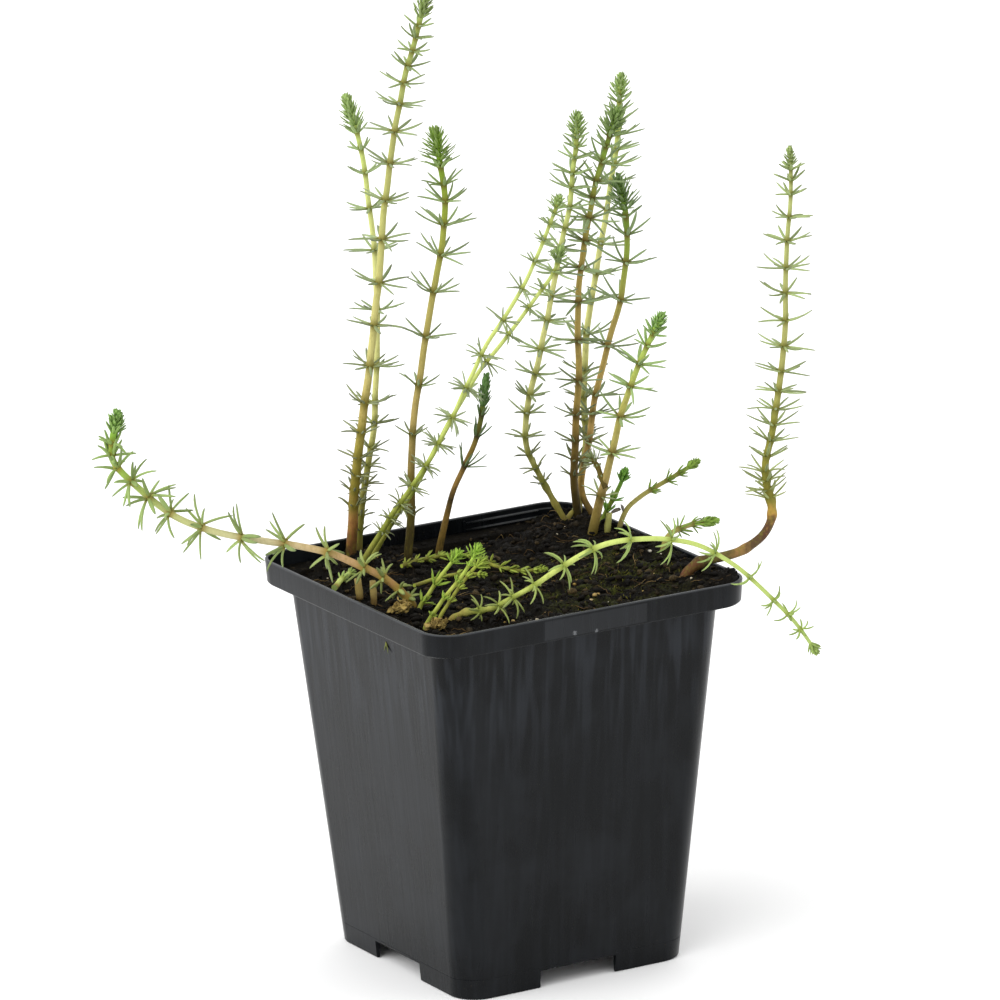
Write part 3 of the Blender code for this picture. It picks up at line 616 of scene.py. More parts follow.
PALE_STUB = ShootFinish(
    "pale_stub", plain_stem((112, 108, 52), (142, 142, 76), (152, 152, 86)),
    knot=(112, 108, 52), leaf_base=(140, 140, 74), leaf=(140, 140, 74), leaf_tip=(112, 108, 60),
    bud=(140, 140, 74))
DRIED = ShootFinish(
    "dried_leaf", plain_stem((60, 50, 42), (84, 74, 60), (84, 74, 60)),
    knot=(60, 50, 42), leaf_base=(96, 84, 70), leaf=(92, 78, 70), leaf_tip=(74, 62, 56),
    bud=(60, 50, 42), low_leaf=(96, 82, 70), low_tip=(76, 64, 58))


@dataclass(frozen=True)
class PhotoCamera:
    """The camera at the photograph's place, and the way from a place to its pixel."""

    place: tuple = (-1142.1, -1953.72, 756.53)
    azimuth: float = 30.657
    elevation: float = 15.644
    roll: float = -1.235
    lens: float = 347.958
    sensor: float = 36.0
    shift: tuple = (-0.0395, -0.0118)
    clip: tuple = (0.1, 60.0)

    def axes(self) -> np.ndarray:
        """Work out how the camera stands.

        Returns:
            Its right, up and back directions as rows.
        """
        turn = math.radians(self.azimuth)
        roll = math.radians(self.roll)
        back = towards(-self.azimuth, self.elevation)
        level = np.array((math.cos(turn), -math.sin(turn), 0.0))
        upright = np.cross(back, level)
        right = level * math.cos(roll) + upright * math.sin(roll)
        up = upright * math.cos(roll) - level * math.sin(roll)
        return np.array((right, up, back))

    def pixel(self, points: np.ndarray) -> np.ndarray:
        """Return the photograph's pixels of places given about the pot's axis.

        Args:
            points: The places, one a row, in millimetres.

        Returns:
            The pixels, one a row.
        """
        seen = (points + POT_AXIS - np.array(self.place)) @ self.axes().T
        scale = self.lens / self.sensor / -seen[:, 2]
        across = 0.5 + seen[:, 0] * scale - self.shift[0]
        down = 0.5 - seen[:, 1] * scale + self.shift[1]
        return np.stack((across, down), axis=1) * IMAGE_SIZE

    def build(self) -> None:
        """Put the camera in the scene."""
        data = bpy.data.cameras.new("photo_camera")
        data.lens = self.lens
        data.sensor_width = self.sensor
        data.shift_x, data.shift_y = self.shift
        data.clip_start, data.clip_end = self.clip
        camera = bpy.data.objects.new("photo_camera", data)
        right, up, back = (Vector(axis) for axis in self.axes())
        turn = Matrix((right, up, back)).transposed().to_4x4()
        camera.matrix_world = Matrix.Translation(Vector(self.place) * MM) @ turn
        show(camera)
        bpy.context.scene.camera = camera


@dataclass(frozen=True)
class Studio:
    """A pale table and soft light from all round, a little stronger from the left."""

    table_half: float = 9.0
    table_drop: float = 0.0001
    sky: float = 1.0
    key: float = 1.15
    key_spread: float = 50.0
    key_azimuth: float = -70.0
    key_height: float = 42.0
    fill: float = 0.3
    fill_turn: float = 130.0
    rim: float = 1.6
    edge: float = 0.9
    edge_azimuth: float = 143.0
    rim_azimuth: float = -118.0
    rim_height: float = 14.0

    def build(self) -> None:
        """Lay the table and hang the lights."""
        clear_selection()
        bpy.ops.mesh.primitive_grid_add(x_subdivisions=4, y_subdivisions=4,
                                        size=2.0 * self.table_half,
                                        location=(0.0, 0.0, -self.table_drop))
        table = bpy.context.object
        table.name = "table"
        table.data.materials.append(FloorFinish().material())
        world = bpy.data.worlds.new("soft_room")
        world.use_nodes = True
        light = world.node_tree.nodes["Background"]
        light.inputs["Color"].default_value = (1.0, 1.0, 1.0, 1.0)
        light.inputs["Strength"].default_value = self.sky
        bpy.context.scene.world = world
        bpy.context.scene.view_settings.view_transform = "Standard"
        self.lamp("key_lamp", self.key, self.key_azimuth, self.key_height)
        self.lamp("fill_lamp", self.fill, self.key_azimuth + self.fill_turn, self.key_height)
        self.lamp("rim_lamp", self.rim, self.rim_azimuth, self.rim_height)
        self.lamp("edge_lamp", self.edge, self.edge_azimuth, self.rim_height)

    def lamp(self, name: str, strength: float, azimuth: float, height: float) -> None:
        """Hang one broad lamp far away.

        Args:
            name: The lamp's name.
            strength: Its strength.
            azimuth: The side that it shines from: 0 is the front, and left is negative.
            height: Its height in degrees.
        """
        data = bpy.data.lights.new(name, "SUN")
        data.energy = strength
        data.angle = math.radians(self.key_spread)
        lamp = bpy.data.objects.new(name, data)
        lamp.location = Vector(towards(azimuth, height))
        lamp.rotation_euler = lamp.location.to_track_quat("Z", "Y").to_euler()
        lamp.visible_glossy = False
        show(lamp)


def show(obj: bpy.types.Object) -> None:
    """Put a new object in the scene."""
    bpy.context.scene.collection.objects.link(obj)


def clear_selection() -> None:
    """Leave edit mode and deselect everything."""
    if bpy.context.object and bpy.context.object.mode != "OBJECT":
        bpy.ops.object.mode_set(mode="OBJECT")
    bpy.ops.object.select_all(action="DESELECT")


def use(obj: bpy.types.Object) -> None:
    """Select one object alone and make it active.

    Args:
        obj: The object.
    """
    clear_selection()
    obj.select_set(True)
    bpy.context.view_layer.objects.active = obj


def edit_all() -> None:
    """Enter edit mode with the whole mesh selected."""
    bpy.ops.object.mode_set(mode="EDIT")
    bpy.ops.mesh.select_all(action="SELECT")


def face_outwards() -> None:
    """Turn every face of the mesh in edit mode outwards and leave edit mode."""
    bpy.ops.mesh.select_all(action="SELECT")
    bpy.ops.mesh.normals_make_consistent(inside=False)
    bpy.ops.object.mode_set(mode="OBJECT")


def hand_over(piece: bpy.types.Object, nodes: tuple = ()) -> None:
    """Tell the frame what a finished piece is.

    Args:
        piece: The piece.
        nodes: The CAD nodes that it stands for.
    """
    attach(piece, "root")
    if nodes:
        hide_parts(*nodes)
    LOG.info("%s: %d faces", piece.name, len(piece.data.polygons))


class Heap:
    """Gathers copies of small shapes and makes them one mesh with marks."""

    def __init__(self) -> None:
        """Start empty."""
        self.points = []
        self.faces = []
        self.marks = []
        self.count = 0

    def add(self, points: np.ndarray, faces: list, *, along: object = 0.0,
            blade: object = 0.0, luck: float = 0.0, knot: object = 0.0) -> None:
        """Add one copy, with its marks: each one value, or a value for each corner.

        Args:
            points: Its corners, in millimetres about the pot's axis.
            faces: Its faces, as corner numbers.
            along: The place along the shoot.
            blade: The place along the leaf.
            luck: The luck of the leaf.
            knot: The closeness of a knot.
        """
        marks = np.zeros((len(points), 4))
        for column, value in enumerate((along, blade, luck, knot)):
            marks[:, column] = value
        self.points.append(points)
        self.marks.append(marks)
        self.faces += [tuple(corner + self.count for corner in face) for face in faces]
        self.count += len(points)

    def piece(self, name: str, material: bpy.types.Material) -> bpy.types.Object:
        """Make the gathered shapes one smooth piece.

        Args:
            name: The piece's name.
            material: Its material.

        Returns:
            The new piece, in the scene.
        """
        mesh = bpy.data.meshes.new(name)
        places = (np.concatenate(self.points) + POT_AXIS) * MM
        mesh.from_pydata(places.tolist(), [], self.faces)
        marks = mesh.color_attributes.new(MARKS, "FLOAT_COLOR", "POINT")
        marks.data.foreach_set("color", np.concatenate(self.marks).astype(np.float32).ravel())
        mesh.polygons.foreach_set("use_smooth", [True] * len(mesh.polygons))
        mesh.materials.append(material)
        obj = bpy.data.objects.new(name, mesh)
        show(obj)
        return obj


def strew(heap: Heap, finish: CrumbFinish) -> None:
    """Make a heap of loose bits one piece of the growing medium, named as its finish."""
    hand_over(heap.piece(finish.name, finish.material()))


@dataclass(frozen=True)
class Ring:
    """One level outline of the pot's shell: half width, corner and height."""

    half: float
    corner: float
    z: float


@dataclass
class Pot:
    """The square pot: a thin shell with a collar, a raised floor and corner feet."""

    height: float = RIM_TOP
    rim_half: float = RIM_HALF
    rim_corner: float = 8.0
    collar_foot: float = 92.0
    collar_half: float = 44.7
    wall_top: float = 91.6
    wall_top_half: float = 40.1
    wall_corner: float = 7.2
    base_half: float = 32.2
    shell: float = 0.9
    floor_under: float = 4.6
    floor_top: float = 5.8
    notch_half: float = 10.8
    notch_height: float = 4.5
    foot_round: float = 1.3
    drain_radius: float = 4.5
    drain_offset: float = 17.0
    corner_steps: int = 8
    edge: float = 0.3
    ridge_drops: tuple = (1.7, 3.5)
    ridge_span: tuple = (15.0, 36.5)
    ridge_depth: tuple = (-0.6, 0.3)
    ridge_rise: float = 0.25
    rib_span: tuple = (14.6, 15.3)
    smooth_below: float = 38.0
    middle: tuple = field(default_factory=lambda: tuple(POT_AXIS * MM))

    def wall_half(self, z: float) -> float:
        """Return the outer wall's half width at a height."""
        share = z / self.wall_top
        return self.base_half + (self.wall_top_half - self.base_half) * share

    def rings(self) -> list:
        """Return the shell's outlines, from the middle of the underside to the floor.

        Returns:
            The outlines in the order in which they are bridged.
        """
        edge = self.edge
        shell = self.shell
        corner = self.wall_corner
        inner = corner - shell
        under = self.base_half - shell
        top = self.height
        rim = self.rim_half
        rim_corner = self.rim_corner
        rows = (
            (under - edge, inner, self.floor_under),
            (under, inner, self.floor_under - edge),
            (under, inner, edge),
            (under + 0.5 * edge, inner + 0.5 * edge, 0.2 * edge),
            (under + 0.5 * shell, inner + 0.5 * shell, 0.0),
            (self.base_half - 0.5 * edge, corner - 0.5 * edge, 0.2 * edge),
            (self.wall_half(edge), corner, edge),
            (self.wall_half(5.0), corner, 5.0),
            (self.wall_half(5.0) - 0.1, corner, 5.2),
            (self.wall_half(5.4), corner, 5.4),
            (self.wall_half(30.0), corner, 30.0),
            (self.wall_half(60.0), corner, 60.0),
            (self.wall_half(90.4), corner, 90.4),
            (self.wall_top_half, corner, self.wall_top - edge),
            (self.wall_top_half + 2.0 * edge, corner, self.wall_top),
            (self.collar_half - edge, rim_corner, self.collar_foot - 0.1),
            (self.collar_half, rim_corner, self.collar_foot + edge),
            (rim, rim_corner, top - edge),
            (rim - 0.4 * edge, rim_corner, top - 0.2 * edge),
            (rim - 0.5 * shell, rim_corner - 0.5 * shell, top),
            (rim - shell + 0.4 * edge, rim_corner - shell, top - 0.2 * edge),
            (rim - shell, rim_corner - shell, top - edge),
            (self.collar_half - shell, rim_corner - shell, self.collar_foot + shell + edge),
            (self.wall_top_half - shell, inner, self.collar_foot + shell),
            (self.wall_half(60.0) - shell, inner, 60.0),
            (under, inner, self.floor_top + edge),
            (under - edge, inner, self.floor_top),
        )
        return [Ring(*row) for row in rows]

    def round_corners(self, ring: Ring) -> None:
        """Round the corners of the selected square."""
        bpy.ops.mesh.bevel(offset=ring.corner * MM, segments=self.corner_steps,
                           affect="VERTICES", profile=0.5)

    def add_ring(self, ring: Ring) -> None:
        """Add an outline in edit mode.

        Args:
            ring: The outline.
        """
        bpy.ops.mesh.select_all(action="DESELECT")
        bpy.ops.mesh.primitive_plane_add(size=2.0 * ring.half * MM,
                                         location=(*self.middle[:2], ring.z * MM))
        self.round_corners(ring)

    def select_rings(self, pot: bpy.types.Object, rings: list) -> None:
        """Select the edges of some outlines by their place.

        Args:
            pot: The pot in edit mode.
            rings: The outlines.
        """
        bpy.ops.mesh.select_all(action="DESELECT")
        bm = bmesh.from_edit_mesh(pot.data)
        for edge in bm.edges:
            edge.select = any(all(self.on_ring(vert, ring) for vert in edge.verts)
                              for ring in rings)
        bmesh.update_edit_mesh(pot.data)

    def on_ring(self, vert: bmesh.types.BMVert, ring: Ring) -> bool:
        """Tell whether a corner lies on an outline.

        Args:
            vert: The corner.
            ring: The outline.

        Returns:
            Whether it lies there.
        """
        if abs(vert.co.z - ring.z * MM) > NEAR:
            return False
        x = abs(vert.co.x - self.middle[0])
        y = abs(vert.co.y - self.middle[1])
        straight = (ring.half - ring.corner) * MM
        spoke = math.hypot(max(0.0, x - straight), max(0.0, y - straight))
        return abs(spoke - ring.corner * MM) < 4.0 * NEAR

    def build_shell(self) -> bpy.types.Object:
        """Model the shell outline by outline.

        Returns:
            The shell with its floor, still whole at its feet.
        """
        clear_selection()
        rings = self.rings()
        first = rings[0]
        bpy.ops.mesh.primitive_plane_add(size=2.0 * first.half * MM,
                                         location=(*self.middle[:2], first.z * MM))
        pot = bpy.context.object
        pot.name = "nursery_pot"
        bpy.ops.object.transform_apply(location=True, rotation=True, scale=True)
        edit_all()
        self.round_corners(first)
        for lower, upper in zip(rings, rings[1:]):
            self.add_ring(upper)
            if upper is not rings[-1]:
                bpy.ops.mesh.delete(type="ONLY_FACE")
            self.select_rings(pot, [lower, upper])
            bpy.ops.mesh.bridge_edge_loops()
        bpy.ops.mesh.select_all(action="SELECT")
        bpy.ops.mesh.remove_doubles(threshold=0.000001)
        face_outwards()
        return pot

    def cut(self, pot: bpy.types.Object, cutter: bpy.types.Object) -> None:
        """Cut one shape from the pot and remove it.

        Args:
            pot: The pot.
            cutter: The shape.
        """
        modifier = pot.modifiers.new(cutter.name, "BOOLEAN")
        modifier.operation = "DIFFERENCE"
        modifier.solver = "EXACT"
        modifier.object = cutter
        use(pot)
        bpy.ops.object.modifier_apply(modifier=modifier.name)
        bpy.data.objects.remove(cutter, do_unlink=True)

    def notch(self, turned: bool) -> bpy.types.Object:
        """Return the cutter for two opposite notches between the feet.

        Args:
            turned: Whether it runs along Y.

        Returns:
            The cutter.
        """
        clear_selection()
        bpy.ops.mesh.primitive_cube_add(size=2.0 * MM, location=(*self.middle[:2], 0.0))
        wide = (self.rim_half, self.notch_half)
        wide = wide[::-1] if turned else wide
        edit_all()
        bpy.ops.transform.resize(value=(*wide, self.notch_height),
                                 center_override=(*self.middle[:2], 0.0))
        bpy.ops.object.mode_set(mode="OBJECT")
        return bpy.context.object

    def drain(self, x: float, y: float) -> bpy.types.Object:
        """Return the cutter for one drain hole.

        Args:
            x: The hole's place across.
            y: The hole's place along.

        Returns:
            The cutter.
        """
        clear_selection()
        place = (self.middle[0] + x * MM, self.middle[1] + y * MM, 5.0 * MM)
        bpy.ops.mesh.primitive_cylinder_add(vertices=32, radius=self.drain_radius * MM,
                                            depth=4.0 * MM, location=place)
        return bpy.context.object

    def round_feet(self, pot: bpy.types.Object) -> None:
        """Round the lower corners of the feet beside the notches.

        Args:
            pot: The pot.
        """
        use(pot)
        bpy.ops.object.mode_set(mode="EDIT")
        bpy.ops.mesh.select_mode(type="EDGE")
        bpy.ops.mesh.select_all(action="DESELECT")
        bm = bmesh.from_edit_mesh(pot.data)
        reach = self.notch_half * MM
        for edge in bm.edges:
            ends = [(abs(vert.co.x - self.middle[0]), abs(vert.co.y - self.middle[1]))
                    for vert in edge.verts]
            level = all(abs(vert.co.z) < NEAR for vert in edge.verts)
            beside = [all(abs(end[axis] - reach) < NEAR for end in ends) for axis in (0, 1)]
            edge.select = level and any(beside)
        bmesh.update_edit_mesh(pot.data)
        bpy.ops.mesh.bevel(offset=self.foot_round * MM, segments=4, affect="EDGES", profile=0.5)
        bpy.ops.object.mode_set(mode="OBJECT")

    def add_bar(self, low: tuple, high: tuple) -> None:
        """Add a raised bar in edit mode, with softened edges.

        Args:
            low: Its lowest, leftmost and foremost corner.
            high: The corner across from it.
        """
        size = np.subtract(high, low)
        place = (np.add(high, low) * 0.5 + POT_AXIS) * MM
        bpy.ops.mesh.select_all(action="DESELECT")
        bpy.ops.mesh.primitive_cube_add(size=MM, location=tuple(place))
        bpy.ops.transform.resize(value=tuple(size), center_override=tuple(place))
        bpy.ops.mesh.bevel(offset=0.12 * MM, segments=2, affect="EDGES")

    def add_inner_ridges(self, pot: bpy.types.Object) -> None:
        """Add the two level ridges and the short rib that ends them inside the back wall.

        Args:
            pot: The pot.
        """
        use(pot)
        bpy.ops.object.mode_set(mode="EDIT")
        front, back = (self.rim_half - self.shell + depth for depth in self.ridge_depth)
        left, right = self.ridge_span
        for drop in self.ridge_drops:
            z = self.height - drop
            self.add_bar((left, front, z - self.ridge_rise), (right, back, z + self.ridge_rise))
        left, right = self.rib_span
        self.add_bar((left, front, self.collar_foot + 1.6), (right, back, self.height - 1.0))
        bpy.ops.object.mode_set(mode="OBJECT")

    def build(self) -> bpy.types.Object:
        """Model and dress the pot.

        Returns:
            The finished pot.
        """
        pot = self.build_shell()
        self.cut(pot, self.notch(False))
        self.cut(pot, self.notch(True))
        offset = self.drain_offset
        spots = [(0.0, 0.0)] + [(i * offset, j * offset) for i in (-1, 1) for j in (-1, 1)]
        for x, y in spots:
            self.cut(pot, self.drain(x, y))
        self.round_feet(pot)
        self.add_inner_ridges(pot)
        use(pot)
        bpy.ops.object.shade_smooth_by_angle(angle=math.radians(self.smooth_below))
        even = pot.modifiers.new("even_shading", "WEIGHTED_NORMAL")
        even.keep_sharp = True
        bpy.ops.object.modifier_apply(modifier=even.name)
        pot.data.materials.clear()
        pot.data.materials.append(PlasticFinish().material())
        hand_over(pot, ("pot",))
        return pot


@dataclass(frozen=True)
class Mound:
    """A rise or dip of the ground: middle, reach and height."""

    x: float
    y: float
    reach: float
    rise: float


@dataclass
class Ground:
    """The growing medium: a rough surface with crumbs, threads and pale specks."""

    level: float = 94.5
    half: float = 43.85
    corner: float = 7.0
    cells: int = 170
    seed: int = 11
    crumbs: int = 4200
    threads: int = 300
    tufts: int = 260
    moss_spread: float = 11.0
    ledge: float = 93.35
    ledge_half: float = 38.9
    lower: tuple = ((94.1, 1.0), (93.6, 0.885), (50.0, 0.9), (6.2, 0.885))
    mounds: tuple = (
        Mound(-20.0, 42.0, 8.0, 2.0), Mound(7.0, 41.0, 11.0, -2.8), Mound(-38.0, 38.0, 10.0, -2.6),
        Mound(-43.0, 12.0, 10.0, -1.5), Mound(14.0, 12.0, 9.0, -0.9), Mound(31.0, 43.0, 8.5, -2.2),
        Mound(44.0, 30.0, 15.0, 3.2), Mound(44.0, -4.0, 15.0, 3.0), Mound(40.0, -38.0, 13.0, 3.4),
        Mound(43.0, -42.0, 5.0, 1.4), Mound(-26.0, -14.0, 12.0, 0.6), Mound(4.0, -20.0, 14.0, -0.5),
    )

    def smooth_height(self, x: float, y: float) -> float:
        """Return the ground's height without its roughness.

        Args:
            x: The place across.
            y: The place along.

        Returns:
            The height.
        """
        height = self.level
        for mound in self.mounds:
            away = (x - mound.x) ** 2 + (y - mound.y) ** 2
            height += mound.rise * math.exp(-away / (2.0 * mound.reach ** 2))
        ripple = math.sin(0.55 * x + 0.3 * y) * math.cos(0.47 * y - 0.2 * x)
        return height + 0.25 * ripple

    def height(self, x: float, y: float) -> float:
        """Return the ground's height with its roughness.

        Args:
            x: The place across.
            y: The place along.

        Returns:
            The height.
        """
        spot = Vector((x, y, 0.0))
        rough = 1.2 * noise.noise(spot * 0.12) + 1.3 * noise.noise(spot * 0.3)
        rough += 1.0 * abs(noise.noise(spot * 0.7)) + 0.35 * noise.noise(spot * 2.1)
        height = self.smooth_height(x, y) + rough - 0.6
        return max(height, self.ledge) if max(abs(x), abs(y)) > self.ledge_half else height

    def inside(self, x: float, y: float, margin: float = 0.0) -> bool:
        """Tell whether a place lies inside the pot.

        Args:
            x: The place across.
            y: The place along.
            margin: The least distance from the wall.

        Returns:
            Whether it lies inside.
        """
        straight = self.half - self.corner
        spoke = math.hypot(max(0.0, abs(x) - straight), max(0.0, abs(y) - straight))
        return spoke < self.corner - margin

    def draw_in(self, u: float, v: float) -> tuple:
        """Carry a place of a square grid into the rounded square.

        Args:
            u: The place across, from -1 to 1.
            v: The place along, from -1 to 1.

        Returns:
            The place in the pot.
        """
        widest = max(abs(u), abs(v), 1e-9)
        a, b = abs(u) / widest, abs(v) / widest
        straight = self.half - self.corner
        reach = self.half
        if min(a, b) * self.half > straight:
            square = a * a + b * b
            half_sum = straight * (a + b)
            root = half_sum ** 2 - square * (2.0 * straight ** 2 - self.corner ** 2)
            reach = (half_sum + math.sqrt(max(0.0, root))) / square
        return u * reach, v * reach

    def build_surface(self) -> bpy.types.Object:
        """Model the surface from a grid and close it below.

        Returns:
            The block of growing medium.
        """
        clear_selection()
        bpy.ops.mesh.primitive_grid_add(x_subdivisions=self.cells, y_subdivisions=self.cells,
                                        size=2.0)
        soil = bpy.context.object
        soil.name = "soil_surface"
        bpy.ops.object.mode_set(mode="EDIT")
        bm = bmesh.from_edit_mesh(soil.data)
        for vert in bm.verts:
            x, y = self.draw_in(vert.co.x, vert.co.y)
            place = np.array((x, y, self.height(x, y))) + POT_AXIS
            vert.co = Vector(place * MM)
        bmesh.update_edit_mesh(soil.data)
        bpy.ops.mesh.select_all(action="DESELECT")
        bpy.ops.mesh.select_mode(type="EDGE")
        bpy.ops.mesh.select_non_manifold(extend=False)
        for z, share in self.lower:
            bpy.ops.mesh.extrude_edges_move()
            bpy.ops.transform.resize(value=(share, share, 0.0),
                                     center_override=(*(POT_AXIS[:2] * MM), z * MM))
        bpy.ops.mesh.edge_face_add()
        face_outwards()
        soil.data.polygons.foreach_set("use_smooth", [True] * len(soil.data.polygons))
        soil.data.materials.append(SoilFinish().material())
        return soil

    def lump(self) -> tuple:
        """Model one crumb.

        Returns:
            Its corners, about a unit across, and its faces.
        """
        clear_selection()
        bpy.ops.mesh.primitive_ico_sphere_add(subdivisions=1, radius=0.5)
        crumb = bpy.context.object
        edit_all()
        bpy.ops.transform.resize(value=(1.15, 0.85, 0.75))
        bpy.ops.transform.vertex_random(offset=0.16, seed=4)
        bpy.ops.object.mode_set(mode="OBJECT")
        return take_shape(crumb)

    def spot(self, luck: random.Random, margin: float) -> tuple:
        """Draw a place inside the pot by luck.

        Args:
            luck: The source of luck.
            margin: The least distance from the wall.

        Returns:
            The place across and along.
        """
        while True:
            x = luck.uniform(-self.half, self.half)
            y = luck.uniform(-self.half, self.half)
            if self.inside(x, y, margin):
                return x, y

    def build_crumbs(self) -> None:
        """Strew crumbs of many sizes over the surface."""
        luck = random.Random(self.seed)
        corners, faces = self.lump()
        heap = Heap()
        for _ in range(self.crumbs):
            x, y = self.spot(luck, 0.6)
            size = 0.4 + 2.3 * luck.random() ** 4
            turn = tumble(luck, 0.9)
            grown = corners * (size * luck.uniform(0.7, 1.4), size, size * luck.uniform(0.6, 1.0))
            place = np.array((x, y, self.height(x, y) + 0.12 * size))
            heap.add(grown @ turn.T + place, faces, luck=luck.random())
        strew(heap, CrumbFinish("soil_crumbs", (
            (0.0, 7, 6, 5), (0.55, 18, 15, 11), (0.86, 40, 33, 21), (1.0, 98, 82, 52))))

    def build_threads(self) -> None:
        """Lay thin root threads and fibres over the surface."""
        luck = random.Random(self.seed + 1)
        heap = Heap()
        for _ in range(self.threads):
            x, y = self.spot(luck, 2.0)
            heading = luck.uniform(0.0, 2.0 * math.pi)
            count = luck.randint(4, 9)
            lift = luck.uniform(0.0, 0.5) if luck.random() < 0.85 else luck.uniform(0.6, 1.8)
            points = []
            for number in range(count):
                if not self.inside(x, y, 0.8):
                    break
                hump = lift * math.sin(math.pi * number / (count - 1))
                points.append((x, y, self.height(x, y) + 0.1 + hump))
                heading += luck.uniform(-0.55, 0.55)
                x += 1.1 * math.cos(heading)
                y += 1.1 * math.sin(heading)
            if len(points) < 3:
                continue
            radius = luck.uniform(0.05, 0.16)
            corners, faces = strand(np.array(points), radius, 3)
            heap.add(corners, faces, luck=luck.random())
        strew(heap, CrumbFinish("root_threads", (
            (0.0, 14, 11, 8), (0.42, 34, 26, 17), (0.7, 78, 60, 36), (1.0, 142, 120, 78))))

    def build_specks(self) -> None:
        """Lay the few white and yellow grains where the photograph shows them."""
        luck = random.Random(self.seed + 2)
        corners, faces = self.lump()
        heap = Heap()
        spots = [(38.8, -6.1, 1.1, 1.0), (-11.8, -4.1, 1.0, 0.3), (-15.5, -31.0, 1.3, 0.35),
                 (-17.0, -29.5, 0.9, 0.2), (-13.5, -32.5, 0.8, 0.5), (-10.8, -31.1, 1.4, 0.9),
                 (-9.4, -32.0, 1.0, 0.8), (-11.6, -30.0, 0.9, 0.7), (13.9, -11.4, 1.2, 0.1),
                 (15.2, -10.2, 0.9, 0.15), (11.1, -25.4, 1.5, 0.3), (12.4, -24.6, 1.1, 0.2),
                 (9.8, -25.8, 1.0, 0.5), (8.6, -24.9, 0.8, 0.3), (31.7, -36.9, 0.8, 0.8)]
        spots += [(*self.spot(luck, 3.0), luck.uniform(0.3, 0.6), luck.random())
                  for _ in range(40)]
        for x, y, size, tint in spots:
            turn = np.array(Matrix.Rotation(luck.uniform(0, SPIN), 3, "Z"))
            place = np.array((x, y, self.height(x, y) + 0.3 * size))
            heap.add(corners @ turn.T * size + place, faces, luck=tint)
        strew(heap, CrumbFinish("pale_grains", (
            (0.0, 150, 120, 50), (0.4, 170, 146, 92), (1.0, 206, 202, 188)), 0.6))

    def build_tufts(self) -> None:
        """Stand short blades of moss on the damp part of the surface."""
        luck = random.Random(self.seed + 3)
        heap = Heap()
        across, along, _ = SoilFinish().moss_middle
        while heap.count < self.tufts * 12:
            x, y = luck.gauss(across, self.moss_spread), luck.gauss(along, self.moss_spread)
            if not self.inside(x, y, 1.5):
                continue
            for _ in range(luck.randint(2, 5)):
                foot = (x + luck.uniform(-0.5, 0.5), y + luck.uniform(-0.5, 0.5))
                start = np.array((*foot, self.height(*foot) - 0.1))
                lean = np.array((luck.uniform(-0.7, 0.7), luck.uniform(-0.7, 0.7),
                                 luck.uniform(0.4, 1.0)))
                points = np.array([start + lean * share for share in (0.0, 0.5, 0.9, 1.15)])
                blade, faces = strand(points, luck.uniform(0.06, 0.12), 3)
                heap.add(blade, faces, luck=luck.random())
        strew(heap, CrumbFinish("moss_blades", (
            (0.0, 34, 38, 12), (0.6, 74, 76, 26), (1.0, 140, 132, 50))))

    def build(self) -> None:
        """Model and dress the growing medium and what lies in it."""
        hand_over(self.build_surface(), ("growing_medium",))
        self.build_crumbs()
        self.build_threads()
        self.build_specks()
        self.build_tufts()


def take_shape(obj: bpy.types.Object) -> tuple:
    """Read a modelled shape and remove its object.

    Args:
        obj: The object.

    Returns:
        Its corners as rows and its faces as corner numbers.
    """
    corners = np.array([tuple(vert.co) for vert in obj.data.vertices])
    faces = [tuple(face.vertices) for face in obj.data.polygons]
    bpy.data.objects.remove(obj, do_unlink=True)
    return corners, faces


def strand(points: np.ndarray, radius: float, sides: int) -> tuple:
    """Sweep a small round section along points, with pointed ends.

    Args:
        points: The points of the middle line.
        radius: The section's radius at the middle.
        sides: The number of its sides.

    Returns:
        The corners as rows and the faces as corner numbers.
    """
    ways = np.gradient(points, axis=0)
    ways /= np.linalg.norm(ways, axis=1)[:, None]
    first = np.cross(ways, (0.13, 0.21, 0.97))
    first /= np.linalg.norm(first, axis=1)[:, None]
    second = np.cross(ways, first)
    sizes = radius * np.sqrt(np.sin(np.linspace(0.12, math.pi - 0.12, len(points))))
    corners = []
    for k in range(sides):
        turn = 2.0 * math.pi * k / sides
        corners.append(points + (first * math.cos(turn) + second * math.sin(turn)) * sizes[:, None])
    corners = np.stack(corners, axis=1).reshape(-1, 3)
    faces = []
    for i in range(len(points) - 1):
        for k in range(sides):
            after = (k + 1) % sides
            faces.append((i * sides + k, i * sides + after,
                          (i + 1) * sides + after, (i + 1) * sides + k))
    last = (len(points) - 1) * sides
    faces.append(tuple(reversed(range(sides))))
    faces.append(tuple(last + k for k in range(sides)))
    return corners, faces


